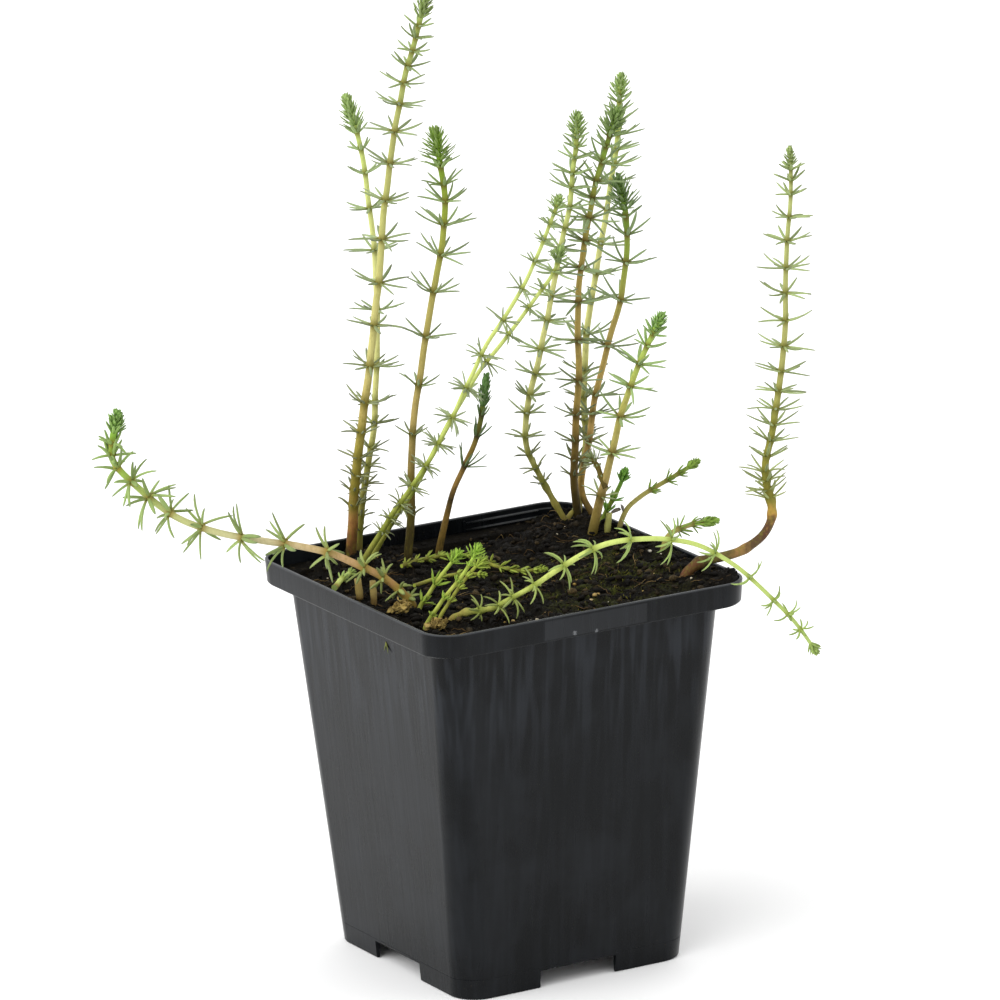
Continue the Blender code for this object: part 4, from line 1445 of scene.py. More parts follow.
class Route:
    """A smooth line through given points, read by its length."""

    steps = 24
    waver = 0.3
    waver_scale = 0.11

    def __init__(self, knots: tuple) -> None:
        """Run a smooth curve through the knots and waver it a little.

        Args:
            knots: The points.
        """
        line = [np.array(knot, float) for knot in knots]
        line = [2.0 * line[0] - line[1]] + line + [2.0 * line[-1] - line[-2]]
        points = []
        for a, b, c, d in zip(line, line[1:], line[2:], line[3:]):
            for step in range(self.steps):
                t = step / self.steps
                points.append(0.5 * (2.0 * b + (c - a) * t
                                     + (2.0 * a - 5.0 * b + 4.0 * c - d) * t * t
                                     + (3.0 * b - a - 3.0 * c + d) * t ** 3))
        points.append(line[-2])
        self.points = np.array([self.wavered(point) for point in points])
        strides = np.linalg.norm(np.diff(self.points, axis=0), axis=1)
        self.lengths = np.concatenate(([0.0], np.cumsum(strides)))
        self.length = float(self.lengths[-1])

    def wavered(self, point: np.ndarray) -> np.ndarray:
        """Return a point moved a little, so that no stem is quite even."""
        return point + self.waver * np.array(noise.noise_vector(Vector(point * self.waver_scale)))

    def at(self, distance: float) -> np.ndarray:
        """Return the point at a distance from the start."""
        return np.array([np.interp(distance, self.lengths, self.points[:, k]) for k in range(3)])

    def direction(self, distance: float) -> np.ndarray:
        """Return the unit direction at a distance from the start."""
        way = self.at(min(distance + 0.5, self.length)) - self.at(max(distance - 0.5, 0.0))
        return way / np.linalg.norm(way)

    def nearest(self, camera: PhotoCamera, mark: object) -> float:
        """Return the distance at which the line passes a mark of the photograph.

        Args:
            camera: The photograph's camera.
            mark: A row of the photograph, or a pair of a column and a row.

        Returns:
            The distance from the start.
        """
        stops = np.arange(0.0, self.length, 0.25)
        points = np.array([self.at(stop) for stop in stops])
        pixels = camera.pixel(points)
        if isinstance(mark, tuple):
            away = np.hypot(pixels[:, 0] - mark[0], pixels[:, 1] - mark[1])
        else:
            away = np.abs(pixels[:, 1] - mark)
        return float(stops[int(np.argmin(away))])


class LeafForm:
    """One leaf, modelled once and copied: a unit long, wide and thick, along +X."""

    stations = ((0.0, 0.7, 1.0), (0.12, 0.82, 1.0), (0.35, 1.0, 1.0), (0.6, 0.95, 0.92),
                (0.8, 0.76, 0.8), (0.94, 0.46, 0.55), (1.0, 0.14, 0.2))

    def __init__(self) -> None:
        """Model the leaf by extruding a small section along its length."""
        clear_selection()
        bpy.ops.mesh.primitive_circle_add(vertices=6, radius=0.5, fill_type="NGON",
                                          rotation=(0.0, 0.5 * math.pi, 0.0))
        leaf = bpy.context.object
        bpy.ops.object.transform_apply(location=True, rotation=True, scale=True)
        edit_all()
        place, width, thickness = self.stations[0]
        bpy.ops.transform.resize(value=(1.0, width, thickness))
        for station in self.stations[1:]:
            step = (station[0] - place, 0.0, 0.0)
            bpy.ops.mesh.extrude_region_move(TRANSFORM_OT_translate={"value": step})
            bpy.ops.transform.resize(value=(1.0, station[1] / width, station[2] / thickness))
            place, width, thickness = station
        face_outwards()
        self.corners, self.faces = take_shape(leaf)
        self.places = 0.1 + 0.9 * self.corners[:, 0]

    def grow(self, size: tuple, bend: float, sway: float, twist: float) -> np.ndarray:
        """Return the corners of one copy, sized and bent.

        Args:
            size: Its length, width and thickness.
            bend: The angle by which it curls up towards its tip.
            sway: The share of its length by which it leans sideways.
            twist: The angle by which it turns about itself.

        Returns:
            The corners: outwards, sideways and upwards of its base.
        """
        length, width, thickness = size
        x, y, z = self.corners.T
        turned = twist * x
        wide = y * width
        thick = z * thickness
        side = wide * np.cos(turned) - thick * np.sin(turned)
        lift = wide * np.sin(turned) + thick * np.cos(turned)
        bend = bend if abs(bend) > 1e-3 else 1e-3
        angle = bend * x
        out = length * np.sin(angle) / bend - lift * np.sin(angle)
        up = length * (1.0 - np.cos(angle)) / bend + lift * np.cos(angle)
        return np.stack((out, side + sway * length * x * x, up), axis=1)


@dataclass(frozen=True)
class Bud:
    """The crowded tip of a shoot: its length, its longest leaf and its rings."""

    length: float
    leaf: float
    rings: int
    width: float = 0.72
    open_angle: float = 42.0


class Habit(Enum):
    """How a shoot holds its leaves.

    The values are the rise in degrees, the curl, the width, the thickness, the spread
    of the rise, the steeper rise of the short leaves near the foot and the most leaves
    of a ring, which has fewer where they are short.
    """

    UPRIGHT = (7.0, 0.15, 0.9, 0.52, 14.0, 40.0, 9)
    RISING = (14.0, 0.2, 0.9, 0.52, 13.0, 36.0, 9)
    FINE = (9.0, -0.25, 0.64, 0.42, 22.0, 22.0, 10)
    DROOPING = (6.0, -0.85, 0.68, 0.44, 28.0, 0.0, 9)
    STARRY = (4.0, -0.35, 1.12, 0.66, 52.0, 0.0, 11)
    SMALL = (34.0, 0.2, 0.62, 0.4, 20.0, 0.0, 8)


class Stance(Enum):
    """How a shoot starts: planted in the ground, lying on it, or growing from a stem."""

    PLANTED = "planted"
    LYING = "lying"
    ON_STEM = "on_stem"


@dataclass(frozen=True)
class ShootPlan:
    """One leafy shoot: its route, its girth and where its rings of leaves stand.

    The girth is the radius at the foot, a third of the way up and at the top. The
    marks are rows of the photograph, or pairs of a column and a row. Leaves reach their
    full size at the share full_from of the length. A twig runs through the first
    colour_reach of its stem's colours. The slot is not used.
    """

    node: str
    finish: ShootFinish
    habit: Habit
    route: tuple
    girth: tuple
    leaf: float
    marks: tuple
    bud: Bud
    swellings: tuple = ()
    stance: Stance = Stance.PLANTED
    short_foot: float = 0.42
    growth: float = 26.0
    twigs: tuple = ()
    full_from: float = 0.42
    colour_reach: float = 1.0
    slot: str = "green_stem"


@dataclass
class Shoot:
    """Builds one leafy shoot from its plan."""

    plan: ShootPlan
    ground: Ground
    form: LeafForm
    camera: PhotoCamera
    seed: int
    heap: Heap
    sides: int = 12
    stride: float = 0.55
    crowding: float = 26.0
    rim_gap: float = 0.6

    def __post_init__(self) -> None:
        """Lay the route and find the rings of leaves."""
        self.luck = random.Random(self.seed)
        self.route = Route(self.laid())
        self.rings = sorted(self.route.nearest(self.camera, mark) for mark in self.plan.marks)
        self.swells = [(self.route.nearest(self.camera, mark), size)
                       for mark, size in self.plan.swellings]

    def laid(self) -> tuple:
        """Work out the route with its buried foot or its lie on the ground.

        Returns:
            The route's points.
        """
        plan = self.plan
        if plan.stance is Stance.ON_STEM:
            return plan.route
        if plan.stance is Stance.PLANTED:
            x, y, z = plan.route[0]
            return ((x, y, z - buried_depth(plan.route[0])), *plan.route)
        lift = plan.girth[0] + 0.7
        return tuple((x, y, self.ground.smooth_height(x, y) + lift) for x, y, _ in plan.route)

    def radius(self, distance: float) -> float:
        """Return the stem's radius, which swells at its knots and closes at its top.

        Args:
            distance: The distance from its start.

        Returns:
            The radius.
        """
        share = distance / self.route.length
        radius = float(np.interp(share, (0.0, 0.35, 1.0), self.plan.girth))
        for ring in self.rings:
            radius *= 1.0 + 0.2 * math.exp(-((distance - ring) / 0.55) ** 2)
        for place, size in self.swells:
            radius *= 1.0 + size * math.exp(-((distance - place) / 1.2) ** 2)
        left = self.route.length - distance
        if left < 1.2:
            radius *= 0.25 + 0.75 * math.sqrt(max(left, 0.0) / 1.2)
        return radius

    def add_stem(self) -> None:
        """Sweep the stem as a round curve and put it on the heap."""
        length = self.route.length
        stops = np.linspace(0.0, length, max(8, int(length / self.stride)))
        data = bpy.data.curves.new("stem_line", "CURVE")
        data.dimensions = "3D"
        data.bevel_depth = 1.0
        data.bevel_resolution = (self.sides - 4) // 2
        data.use_fill_caps = True
        data.twist_mode = "MINIMUM"
        spline = data.splines.new("POLY")
        spline.points.add(len(stops) - 1)
        for point, stop in zip(spline.points, stops):
            point.co = (*self.route.at(stop), 1.0)
            point.radius = self.radius(stop)
        line = bpy.data.objects.new("stem_line", data)
        show(line)
        use(line)
        bpy.ops.object.convert(target="MESH")
        corners, faces = take_shape(bpy.context.object)
        rings = np.arange(len(corners)) // self.sides - 2
        places = np.where(rings < -1, 0, np.where(rings < 0, len(stops) - 1, rings))
        reached = stops[places]
        near = np.zeros(len(corners))
        for ring in self.rings:
            reach = 1.1 + 1.4 * max(0.0, 1.0 - ring / length / 0.55)
            near = np.maximum(near, np.exp(-((reached - ring) / reach) ** 2))
        along = reached / length * self.plan.colour_reach
        self.heap.add(corners, faces, along=along, luck=0.5, knot=near)

    def add_leaf(self, distance: float, turn: float, size: tuple, rise: float,
                 bend: float, bud: float) -> None:
        """Put one leaf on the heap.

        Args:
            distance: Where its ring stands.
            turn: The way it points, round the stem.
            size: Its length, width and thickness.
            rise: Its angle above the ring's plane.
            bend: Its curl.
            bud: 1 for a leaf of the bud, which has the bud's colour.
        """
        axis = self.route.direction(distance)
        side = np.cross(axis, (0.31, 0.95, 0.05))
        side /= np.linalg.norm(side)
        across = np.cross(axis, side)
        out = side * math.cos(turn) + across * math.sin(turn)
        beside = np.cross(axis, out)
        angle = math.radians(rise)
        base = self.route.at(distance) + out * self.radius(distance) * 0.8
        sway = self.luck.uniform(-0.08, 0.08)
        twist = self.luck.uniform(-0.5, 0.5)
        for share in (1.0, 0.8, 0.6, 0.45, 0.3):
            sized = (size[0] * share, size[1], size[2])
            local = self.form.grow(sized, bend, sway, twist)
            ahead = out * math.cos(angle) + axis * math.sin(angle)
            upward = axis * math.cos(angle) - out * math.sin(angle)
            corners = base + (local[:, :1] * ahead + local[:, 1:2] * beside
                              + local[:, 2:] * upward)
            if self.clear(corners):
                break
            angle += math.radians(6.0)
        reach = self.plan.colour_reach
        self.heap.add(corners, self.form.faces, along=distance / self.route.length * reach,
                      blade=self.form.places, luck=self.luck.random(), knot=bud * reach)

    def clear(self, corners: np.ndarray) -> bool:
        """Tell whether a leaf stays out of the ground and the pot's rim.

        Args:
            corners: Its corners, its tip's last.

        Returns:
            Whether it does.
        """
        x, y, z = corners[-1]
        widest = max(abs(x), abs(y))
        outer = RIM_HALF + self.rim_gap
        if widest < outer and z < self.ground.smooth_height(x, y) + 0.2:
            return False
        return not (RIM_HALF - 1.6 < widest < outer and z < RIM_TOP + 0.3)

    def leaf_length(self, distance: float) -> float:
        """Return the length of the leaves at a place: short at the foot and the tip.

        Args:
            distance: The distance from the stem's start.

        Returns:
            The length.
        """
        plan = self.plan
        share = distance / self.route.length
        low = plan.short_foot + (1.0 - plan.short_foot) * min(1.0, share / plan.full_from)
        left = (self.route.length - plan.bud.length - distance) / plan.growth
        return plan.leaf * low * (0.5 + 0.5 * min(1.0, max(left, 0.0)))

    def add_leaves(self) -> None:
        """Put the rings of leaves on the heap."""
        luck = self.luck
        rise, bend, width, thickness, spread, steeper, most = self.plan.habit.value
        bud_start = self.route.length - self.plan.bud.length
        for ring in self.rings:
            if ring > bud_start + 0.3:
                continue
            near_tip = max(0.0, 1.0 - (bud_start - ring) / self.crowding)
            share = ring / self.route.length
            low = max(0.0, 1.0 - share / self.plan.full_from) if steeper else 0.0
            full = self.leaf_length(ring) / self.plan.leaf
            count = round(most * (0.6 + 0.4 * full)) - luck.randint(0, 1)
            phase = luck.uniform(0.0, SPIN)
            for number in range(count):
                turn = phase + 2.0 * math.pi * (number + luck.uniform(-0.25, 0.25)) / count
                length = self.leaf_length(ring) * luck.uniform(0.78, 1.12)
                slim = 1.0 - 0.35 * low
                size = (length, width * slim * luck.uniform(0.75, 1.15), thickness * slim)
                up = rise + 26.0 * near_tip ** 2 + steeper * low + luck.uniform(-spread, spread)
                curl = bend - 0.6 * low + luck.uniform(-0.4, 0.4)
                self.add_leaf(ring, turn, size, up, curl, 0.35 * near_tip)

    def add_bud(self) -> None:
        """Put the crowded tip on the heap."""
        luck = self.luck
        bud = self.plan.bud
        start = self.route.length - bud.length
        for number in range(bud.rings):
            share = (number + 0.6) / bud.rings
            ring = start + bud.length * (1.0 - (1.0 - share) ** 1.25) * 0.96
            length = bud.leaf * (1.0 - 0.6 * share)
            count = 8 if share < 0.75 else 6
            phase = luck.uniform(0.0, SPIN)
            for leaf in range(count):
                turn = phase + 2.0 * math.pi * (leaf + luck.uniform(-0.2, 0.2)) / count
                size = (length * luck.uniform(0.8, 1.12), bud.width, 0.32)
                up = bud.open_angle + (78.0 - bud.open_angle) * share ** 1.5
                up += luck.uniform(-9.0, 9.0)
                self.add_leaf(ring, turn, size, up, 0.1, 0.55 + 0.45 * share)

    def grow(self) -> None:
        """Put the stem, its leaves, its tip and its twigs on the heap."""
        self.add_stem()
        self.add_leaves()
        self.add_bud()
        for number, twig in enumerate(self.plan.twigs):
            seed = 1000 + self.seed * 10 + number
            Shoot(twig, self.ground, self.form, self.camera, seed, self.heap).grow()

    def build(self) -> None:
        """Model and dress the shoot."""
        self.grow()
        piece = self.heap.piece(f"leafy_{self.plan.node}", skin(self.plan.finish))
        hand_over(piece, (self.plan.node,))


def skin(finish: ShootFinish) -> bpy.types.Material:
    """Return a shoot's material, made on its first use."""
    found = bpy.data.materials.get(finish.name)
    return found if found else finish.material()


TINY_BUD = Bud(2.5, 1.6, 3, 0.5, 45.0)
FAN_BUD = Bud(3.4, 3.4, 4, 0.55, 26.0)
FOOT_LINK = ShootPlan(
    "foot_link", PALE_UPRIGHT, Habit.SMALL, girth=(0.75, 0.7, 0.6), leaf=1.5,
    route=((35.6, 30.2, 96.9), (37.2, 30.5, 97.2), (39.3, 31.0, 98.9)),
    marks=(),
    bud=Bud(0.8, 0.8, 1, 0.5, 40.0), stance=Stance.ON_STEM, colour_reach=0.1)
OLIVE_TWIG = ShootPlan(
    "olive_twig", OLIVE_FOOTED, Habit.SMALL, slot="brown_stem", girth=(0.75, 0.7, 0.6), leaf=1.6,
    route=((37.6, 12.4, 109.2), (37.2, 13.8, 111.8), (36.8, 15, 114.6), (35.4, 16.3, 116.6)),
    marks=((602, 477), (598, 466)),
    bud=Bud(2.4, 3.4, 4, 0.5, 24.0), stance=Stance.ON_STEM, colour_reach=0.1)

SHOOTS = (
    ShootPlan(
        "stem_tallest", GREEN_TALL, Habit.UPRIGHT, girth=(1.35, 0.92, 0.62), leaf=7.0,
        route=((-20, 39.5, 96.5), (-19.5, 38.5, 109.5), (-18.5, 36.5, 125), (-16.5, 34.5, 144),
               (-15, 32, 163.5), (-13.5, 30, 185.5), (-11.5, 27.5, 204), (-9, 25, 220.5),
               (-5, 21.5, 238.5)),
        marks=(26, 37, 51, 66, 83, 104, 131, 163, 200, 239, 283, 325, 366, 402, 432, 457, 475, 490,
               505),
        bud=Bud(6.5, 3.6, 7, 0.7, 44.0)),
    ShootPlan(
        "stem_behind_tallest", PALE_UPRIGHT, Habit.UPRIGHT, girth=(0.85, 0.75, 0.6),
        leaf=6.6,
        route=((-16.5, 41.5, 96.5), (-15, 42, 108), (-11, 43, 125), (-8.5, 45, 140.5),
               (-7, 46.5, 159.5), (-7, 49, 180), (-8, 50.5, 194.5), (-10, 54, 207.5)),
        marks=(132, 149, 173, 208, 250, 310, 366, 402, 423, 448, 466, 483, 500, 515, 530),
        bud=Bud(9.0, 4.2, 9, 0.75, 40.0)),
    ShootPlan(
        "stem_left_middle", VIVID_TIPPED, Habit.RISING, girth=(1.1, 0.84, 0.72), leaf=7.8,
        route=((-9, 30.5, 95), (-8, 30.5, 105.5), (-7, 30.5, 126), (-5, 30, 139.5), (-2.5, 29, 155),
               (0.5, 27.5, 171.5), (1.5, 26.5, 185), (0, 27.5, 202.5)),
        marks=(167, 184, 201, 225, 255, 292, 336, 385, 434, 483, 514),
        bud=Bud(9.0, 5.4, 10, 0.62, 20.0), short_foot=0.24, growth=12.0, full_from=0.68),
    ShootPlan(
        "shoot_brown", DARK_BROWN, Habit.SMALL, slot="brown_stem", girth=(0.95, 0.7, 0.62), leaf=5.6,
        route=((2, 34, 94.8), (4.2, 32, 107), (7.7, 30.5, 115.5), (11.1, 29.5, 123.5), (13.5, 29, 138)),
        marks=(415, 436, 466),
        bud=Bud(8.5, 3.4, 6, 0.85, 64.0), short_foot=0.5, growth=12.0),
    ShootPlan(
        "stem_leaning_front", GREEN_LEANING, Habit.FINE, girth=(0.78, 0.56, 0.46),
        leaf=5.0,
        route=((-21, 31.5, 95.8), (-16.5, 25.5, 107.5), (-10.5, 17.5, 122), (-6, 12.5, 134),
               (-0.5, 5.5, 152), (5.5, -2, 167.5), (10, -6.5, 180.5), (13, -9.5, 191.5)),
        marks=(207, 213, 224, 240, 261, 289, 320, 355, 388, 418, 444, 466, 486, 503, 518, 531),
        bud=Bud(3.4, 2.8, 4, 0.62, 30.0)),
    ShootPlan(
        "stem_leaning_back", GREEN_LEANING, Habit.FINE, girth=(0.72, 0.56, 0.46),
        leaf=4.8,
        route=((-18, 32.5, 95.8), (-15, 29.5, 103.5), (-9.5, 25, 114.5), (-2.5, 20.5, 130),
               (4, 16, 143.5), (13, 10.5, 157), (20, 6.5, 168), (22, 5.5, 174)),
        marks=(262, 272, 288, 308, 335, 362, 390, 418, 444, 468, 490, 508, 522),
        bud=Bud(3.6, 3.4, 5, 0.62, 34.0)),
    ShootPlan(
        "stem_crooked", PALE_UPRIGHT, Habit.UPRIGHT, girth=(0.74, 0.75, 0.58), leaf=6.2,
        route=((36, 30, 96.8), (33.5, 31.5, 102.5), (30.5, 32, 108.5), (26.5, 32, 117.5),
               (26.5, 31, 128), (29, 28.5, 142), (32.5, 25, 164.5), (35.5, 22.5, 184),
               (36.5, 20.5, 203)),
        marks=(138, 146, 158, 173, 188, 207, 228, 248, 272, 296, 320, 349, 374, 395, 413, 436, 454, 468,
               482),
        bud=Bud(5.5, 3.6, 7, 0.62, 34.0),
        swellings=(((546, 487), 0.35), ((557, 503), 0.3)),
        short_foot=0.26, growth=12.0, twigs=(FOOT_LINK,)),
    ShootPlan(
        "stem_brown", BROWN_UPRIGHT, Habit.UPRIGHT, slot="brown_stem",
        girth=(1.05, 0.82, 0.62), leaf=7.4,
        route=((40, 30.5, 97.2), (39, 30, 106.5), (39, 29, 120), (39.5, 27.5, 136), (39, 26.5, 153.5),
               (40, 24, 170.5), (41.5, 20.5, 185.5), (45, 16, 203.5)),
        marks=(136, 146, 162, 181, 198, 218, 241, 268, 302, 340, 380, 414, 441, 460, 475),
        bud=Bud(6.5, 4.8, 8, 0.7, 32.0), short_foot=0.3, growth=10.0),
    ShootPlan(
        "stem_pale_tall", PALE_UPRIGHT, Habit.RISING, girth=(0.9, 0.85, 0.58), leaf=7.0,
        route=((42.3, 33.6, 97.6), (44, 35, 105), (46, 36, 114), (47.5, 38.5, 127), (49.5, 40, 140.5),
               (53.5, 41, 158), (57, 41, 173), (60.5, 41.5, 189.5), (62.5, 42.5, 205)),
        marks=(94, 102, 111, 122, 135, 149, 164, 182, 209, 243, 274, 300, 334, 371, 397, 420, 433, 463),
        bud=Bud(6.0, 3.8, 7, 0.66, 34.0), short_foot=0.3, growth=10.0),
    ShootPlan(
        "stem_dark_tip", DARK_TIPPED, Habit.RISING, girth=(0.82, 0.78, 0.7), leaf=8.0,
        route=((42.4, 27, 97.8), (41.7, 30, 101.3), (42, 31.8, 104.5), (42.8, 32, 108.5),
               (44, 31, 116.5), (46.5, 31, 128), (49, 29.5, 139.5), (52, 28, 151.5), (53.5, 26.5, 166),
               (53, 26, 175), (51.5, 27, 183)),
        marks=(216, 234, 262, 300, 345, 395, 414, 440, 462),
        bud=Bud(8.5, 5.2, 9, 0.72, 30.0), short_foot=0.32, growth=10.0),
    ShootPlan(
        "stem_thick_foot", OLIVE_FOOTED, Habit.UPRIGHT, slot="brown_stem",
        girth=(1.34, 0.9, 0.62), leaf=7.0,
        route=((36, 16.5, 96.8), (37, 15, 104.5), (38.5, 12, 115), (40, 8.5, 128.5), (42.5, 3.5, 142),
               (46.5, -1, 155)),
        marks=(334, 346, 364, 386, 416, 452, 495),
        bud=Bud(5.0, 3.4, 6, 0.7, 34.0), short_foot=0.36, growth=10.0, twigs=(OLIVE_TWIG,)),
    ShootPlan(
        "shoot_beside_thick_foot", BRIGHT_SHORT, Habit.SMALL, girth=(0.7, 0.6, 0.5),
        leaf=2.4,
        route=((41, 20.5, 97.3), (42, 19, 101.5), (44.5, 17, 107.5), (45.5, 16, 111.5)),
        marks=(500, 510),
        bud=Bud(3.4, 2.5, 5, 0.58, 50.0), short_foot=0.5, growth=4.0),
    ShootPlan(
        "shoot_right_upper", DARK_SHORT, Habit.SMALL, girth=(0.68, 0.62, 0.55), leaf=2.8,
        route=((42.6, 14.5, 97.8), (46.4, 17, 101.3), (51.5, 19, 103), (56.5, 20, 104.5),
               (62, 19, 107.1), (68.2, 18.5, 109.9)),
        marks=((650, 489), (668, 480), (679, 473)),
        bud=Bud(3.5, 2.2, 5, 0.72, 58.0), short_foot=0.6, growth=3.0),
    ShootPlan(
        "shoot_right_lower", DARK_SHORT, Habit.SMALL, girth=(0.7, 0.68, 0.6), leaf=3.2,
        route=((41.4, -8, 97.4), (43.4, -7, 100), (47, -5.5, 100.9), (52.5, -4, 101.2),
               (59, -4.5, 101.2)),
        marks=((680, 531), (693, 524), (701, 522)),
        bud=Bud(4.2, 2.4, 6, 0.75, 58.0), short_foot=0.8, growth=3.0),
    ShootPlan(
        "stem_arching", PALE_ARCHING, Habit.DROOPING, slot="pale_stem",
        girth=(0.52, 0.7, 0.44), leaf=6.2,
        route=((-29.7, -24.5, 94.7), (-27, -26.5, 96.9), (-24, -29, 97.7), (-20.5, -32, 99),
               (-17.3, -35.5, 101.8), (-14, -39, 105), (-8.5, -42.5, 109.5), (-1.5, -49, 115),
               (6.5, -55, 117), (16, -62, 116), (24.5, -68, 110.5), (32, -74, 102), (37.5, -77, 94.5),
               (41, -79, 88.5)),
        marks=((480, 613), (499, 605), (513, 597), (533, 583), (562, 562), (592, 548), (631, 539),
               (672, 539), (715, 554), (750, 577), (774, 600), (787, 615), (800, 630)),
        bud=Bud(3.0, 2.4, 5, 0.66, 40.0),
        swellings=(((454, 618), 0.7), ((467, 612), 1.0), ((480, 611), 0.6), ((492, 607), 0.4),
                   ((504, 602), 0.25)),
        short_foot=0.5, growth=40.0),
    ShootPlan(
        "stem_hooked", CREEPING, Habit.UPRIGHT, slot="brown_stem", girth=(1.38, 0.9, 0.45), leaf=7.0,
        route=((33.8, -30.5, 97), (35.8, -31, 99.2), (39, -32, 100.8), (44.2, -33.5, 101.6),
               (48.5, -34.5, 102.7), (53, -35.5, 105.5), (55.8, -35.5, 109), (56, -35.5, 113),
               (55, -35, 118.5), (55.2, -34.5, 123.8), (57.5, -34.5, 132.5), (60.5, -35, 152.5),
               (61.5, -35.5, 175), (62.5, -36, 190.5), (62.5, -36, 202)),
        marks=(169, 180, 194, 217, 241, 268, 293, 320, 346, 371, 391, 409, 425, 441, 456, 471, 480, 489,
               497),
        bud=Bud(5.0, 2.2, 6, 0.6, 36.0),
        swellings=(((700, 562), 0.35), ((745, 549), 0.15), ((771, 514), 0.3), ((771, 500), 0.35)),
        short_foot=0.6, growth=24.0, full_from=0.62),
    ShootPlan(
        "stem_trailing", PINK_TRAILING, Habit.STARRY, slot="pale_stem",
        girth=(1.0, 0.85, 0.8), leaf=7.4,
        route=((-29.5, -6.5, 95), (-34, -4, 100.5), (-39.5, 0.5, 104.5), (-47, 6, 108.5),
               (-59.5, 15, 111), (-71.5, 23, 114.5), (-79.5, 29, 120), (-87.5, 35, 129.5),
               (-88.5, 35.5, 135), (-87, 34.5, 143)),
        marks=((408, 598), (398, 590), (383, 578), (365, 567), (328, 551), (285, 543), (241, 538),
               (201, 528), (170, 514), (149, 497), (132, 481), (118, 467), (112, 455), (113, 443)),
        bud=Bud(5.5, 3.4, 7, 0.85, 40.0), short_foot=0.26, growth=16.0, full_from=0.36),
    ShootPlan(
        "shoot_front_long", VIVID_SHORT, Habit.SMALL, girth=(0.6, 0.5, 0.42), leaf=1.5,
        route=((-36, -24, 94.7), (-32.7, -26, 100.5), (-29.2, -28, 105.7), (-26.6, -30, 110.6),
               (-24.9, -31, 114.4)),
        marks=((433, 616), (445, 598), (457, 581), (468, 565)),
        bud=FAN_BUD, short_foot=0.4, growth=3.0),
    ShootPlan(
        "shoot_front_short", OLIVE_SHORT, Habit.SMALL, girth=(0.52, 0.45, 0.4), leaf=2.0,
        route=((-30.7, -21.5, 95), (-27.4, -21, 98.4), (-23.6, -20.5, 102.3), (-19.8, -20, 105.6),
               (-16.6, -19.5, 107.1)),
        marks=((451, 602), (460, 589), (467, 577)),
        bud=FAN_BUD, short_foot=0.5, growth=3.0),
    ShootPlan(
        "shoot_front_vivid", VIVID_SHORT, Habit.SMALL, girth=(0.6, 0.52, 0.45), leaf=3.4,
        route=((-30.5, -11.5, 95.3), (-28.2, -12.5, 99), (-26.1, -13.5, 102.2), (-23.5, -14.5, 105.5),
               (-20.9, -15, 108.5)),
        marks=((424, 602), (435, 584)),
        bud=FAN_BUD, short_foot=0.7, growth=3.0),
    ShootPlan(
        "runner_back", OLIVE_SHORT, Habit.SMALL, girth=(0.5, 0.45, 0.4), leaf=2.2,
        route=((-16, 22, 0), (-10, 24, 0), (-1.5, 25.5, 0), (5, 22.5, 0)),
        marks=((405, 562), (416, 559), (427, 555), (438, 552), (450, 549)),
        bud=TINY_BUD, stance=Stance.LYING, short_foot=0.7, growth=3.0),
    ShootPlan(
        "runner_middle", OLIVE_SHORT, Habit.SMALL, girth=(0.5, 0.45, 0.4), leaf=2.6,
        route=((4.5, 16, 0), (3, 9, 0), (7, 3.5, 0), (12, -1, 0)),
        marks=((490, 563), (500, 569), (510, 569), (521, 568), (533, 562)),
        bud=TINY_BUD, stance=Stance.LYING, short_foot=0.7, growth=3.0),
    ShootPlan(
        "runner_brown", OLIVE_SHORT, Habit.SMALL, slot="brown_stem", girth=(0.5, 0.45, 0.4), leaf=2.0,
        route=((-22.5, 4.5, 0), (-16, 7.5, 0), (-8, 7, 0), (-3, 3, 0)),
        marks=((440, 579), (457, 574), (478, 575)),
        bud=TINY_BUD, stance=Stance.LYING, short_foot=0.7, growth=3.0),
    ShootPlan(
        "runner_left", PALE_ARCHING, Habit.SMALL, slot="pale_stem", girth=(0.8, 0.7, 0.6), leaf=2.4,
        route=((-37.5, 18, 0), (-33, 22.5, 0), (-27.5, 26, 0)),
        marks=((337, 573), (347, 568)),
        bud=TINY_BUD, stance=Stance.LYING, short_foot=0.7, growth=6.0),
)


@dataclass(frozen=True)
class StubPlan:
    """A bare broken stub: its foot, its top, its radius and its finish."""

    node: str
    foot: tuple
    top: tuple
    radius: float
    finish: ShootFinish


STUBS = (
    StubPlan("stub_left_front", (-36.5, 7, 94.6), (-35.5, 9.5, 98.6), 0.9, WITHERED),
    StubPlan("stub_left_back", (-34.5, 3.5, 94.6), (-32.5, 7.5, 98.0), 0.8, WITHERED),
    StubPlan("stub_beside_thick_foot", (38.8, 14.2, 97.2), (39.8, 14.6, 101.8), 0.8, PALE_STUB),
)


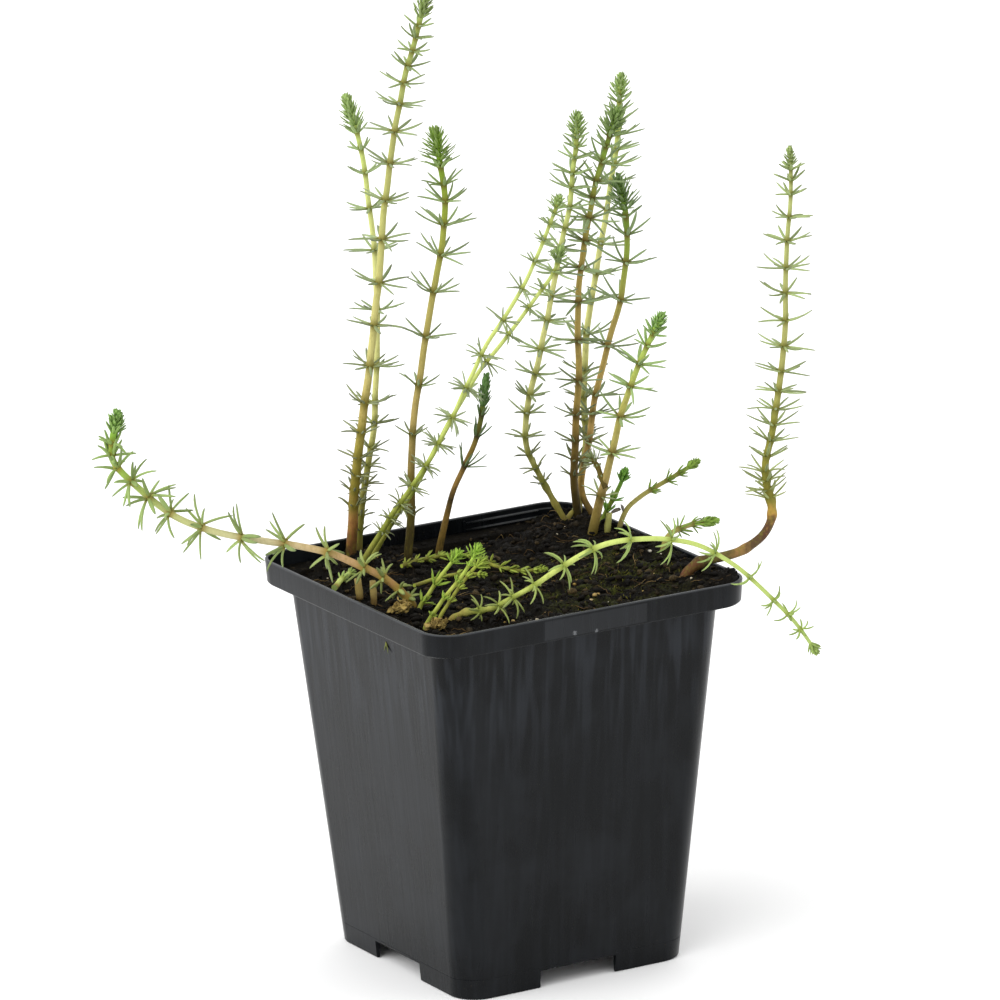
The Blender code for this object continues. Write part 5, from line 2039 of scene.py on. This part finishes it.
@dataclass
class Remains:
    """The dead parts: broken stubs and crumpled withered leaves."""

    ground: Ground
    form: LeafForm
    seed: int = 71
    wall: float = -39.85

    def build_stub(self, plan: StubPlan) -> None:
        """Model and dress one hollow broken stub.

        Args:
            plan: The stub.
        """
        foot = np.array(plan.foot, float)
        top = np.array(plan.top, float)
        way = top - foot
        length = float(np.linalg.norm(way))
        down = buried_depth(plan.foot, 0.2)
        start = foot - np.array((0.0, 0.0, down))
        clear_selection()
        bpy.ops.mesh.primitive_circle_add(vertices=14, radius=plan.radius, fill_type="NGON",
                                          location=tuple(start))
        stub = bpy.context.object
        bpy.ops.object.transform_apply(location=True, rotation=True, scale=True)
        edit_all()
        bpy.ops.mesh.extrude_region_move(TRANSFORM_OT_translate={"value": (0, 0, down)})
        for share, size in ((0.35, 1.08), (0.35, 0.9), (0.3, 0.98)):
            step = tuple(way * share)
            bpy.ops.mesh.extrude_region_move(TRANSFORM_OT_translate={"value": step})
            bpy.ops.transform.resize(value=(size, size, 1.0))
        bpy.ops.mesh.inset(thickness=plan.radius * 0.35)
        sink = tuple(-way * (0.9 / length))
        bpy.ops.mesh.extrude_region_move(TRANSFORM_OT_translate={"value": sink})
        face_outwards()
        corners, faces = take_shape(stub)
        luck = random.Random(self.seed + len(plan.node))
        corners = corners + np.array([[luck.uniform(-0.07, 0.07) for _ in range(3)]
                                      for _ in range(len(corners))])
        along = np.clip((corners[:, 2] - foot[2]) / length, 0.0, 1.0)
        heap = Heap()
        heap.add(corners, faces, along=along, luck=0.5)
        piece = heap.piece(f"broken_{plan.node}", skin(plan.finish))
        hand_over(piece, (plan.node,))

    def build_clump(self, node: str, middle: tuple, halves: tuple, leaves: int) -> None:
        """Crumple withered leaves into one small clump.

        Args:
            node: The CAD node that the clump stands for.
            middle: Its place.
            halves: Its half sizes.
            leaves: The number of its leaves.
        """
        luck = random.Random(self.seed + leaves)
        lift = self.ground.smooth_height(*middle) + halves[2] + 0.6
        heap = Heap()
        for _ in range(leaves):
            size = (luck.uniform(1.5, 3.2), luck.uniform(0.8, 1.6), 0.25)
            local = self.form.grow(size, luck.uniform(0.8, 2.6), luck.uniform(-0.3, 0.3),
                                   luck.uniform(-1.6, 1.6))
            local -= local.mean(axis=0)
            turn = tumble(luck, 1.2)
            spot = np.array([luck.gauss(0.0, 0.42) * half for half in halves])
            spot[2] = max(spot[2], -0.6 * halves[2])
            place = spot + np.array((*middle, lift))
            heap.add(local @ turn.T + place, self.form.faces, blade=self.form.places,
                     luck=luck.random())
        piece = heap.piece(f"crumpled_{node}", skin(WITHERED))
        hand_over(piece, (node,))

    def lay_leaf(self, heap: Heap, start: tuple, end: tuple, face: tuple, width: float,
                 bend: float) -> None:
        """Put one lying leaf on the heap.

        Args:
            heap: The heap.
            start: Its base.
            end: The place that its tip points to.
            face: The way that its flat side faces.
            width: Its width.
            bend: Its curl away from the flat.
        """
        base = np.array(start, float)
        way = np.array(end, float) - base
        length = float(np.linalg.norm(way))
        ahead = way / length
        beside = np.cross(np.array(face, float), ahead)
        beside /= np.linalg.norm(beside)
        upward = np.cross(ahead, beside)
        local = self.form.grow((length, width, 0.25), bend, 0.05, 0.4)
        corners = base + local[:, :1] * ahead + local[:, 1:2] * beside + local[:, 2:] * upward
        heap.add(corners, self.form.faces, blade=self.form.places, luck=0.4)

    def build_loose(self) -> None:
        """Model the two leaf slivers that cling to the wall and the one dried leaf."""
        foot = (self.wall, -11.2, 88.3)
        heap = Heap()
        self.lay_leaf(heap, foot, (self.wall + 0.1, -12.6, 85.6), (-1, 0, 0), 0.5, 0.3)
        self.lay_leaf(heap, foot, (self.wall + 0.15, -10.3, 85.9), (-1, 0, 0), 0.5, 0.2)
        hand_over(heap.piece("slivers_on_wall", skin(DARK_SHORT)))
        heap = Heap()
        self.lay_leaf(heap, (46.2, 18.3, 101.0), (43.4, 16.8, 102.4), (-0.4, -0.8, 0.45),
                      2.0, 0.7)
        self.lay_leaf(heap, (44.4, 17.0, 101.6), (41.4, 16.0, 102.0), (-0.2, -0.7, 0.7),
                      1.2, -0.9)
        hand_over(heap.piece("dried_leaf_on_shoot", skin(DRIED)))

    def build(self) -> None:
        """Model and dress every dead part."""
        self.build_loose()
        for plan in STUBS:
            self.build_stub(plan)
        self.build_clump("withered_leaves", (-35.8, -12.4), (2.7, 2.0, 1.4), 70)
        self.build_clump("withered_leaf_front", (-35.4, -28.3), (2.6, 1.3, 1.0), 36)


def main() -> None:
    """Build the scene in order: camera, light, pot, ground, shoots and remains."""
    logging.basicConfig(level=logging.INFO, format="%(name)s %(message)s")
    camera = PhotoCamera()
    camera.build()
    Studio().build()
    Pot().build()
    ground = Ground()
    ground.build()
    form = LeafForm()
    for number, plan in enumerate(SHOOTS):
        Shoot(plan, ground, form, camera, 100 + number, Heap()).build()
    Remains(ground, form).build()


if __name__ == "__main__":
    main()
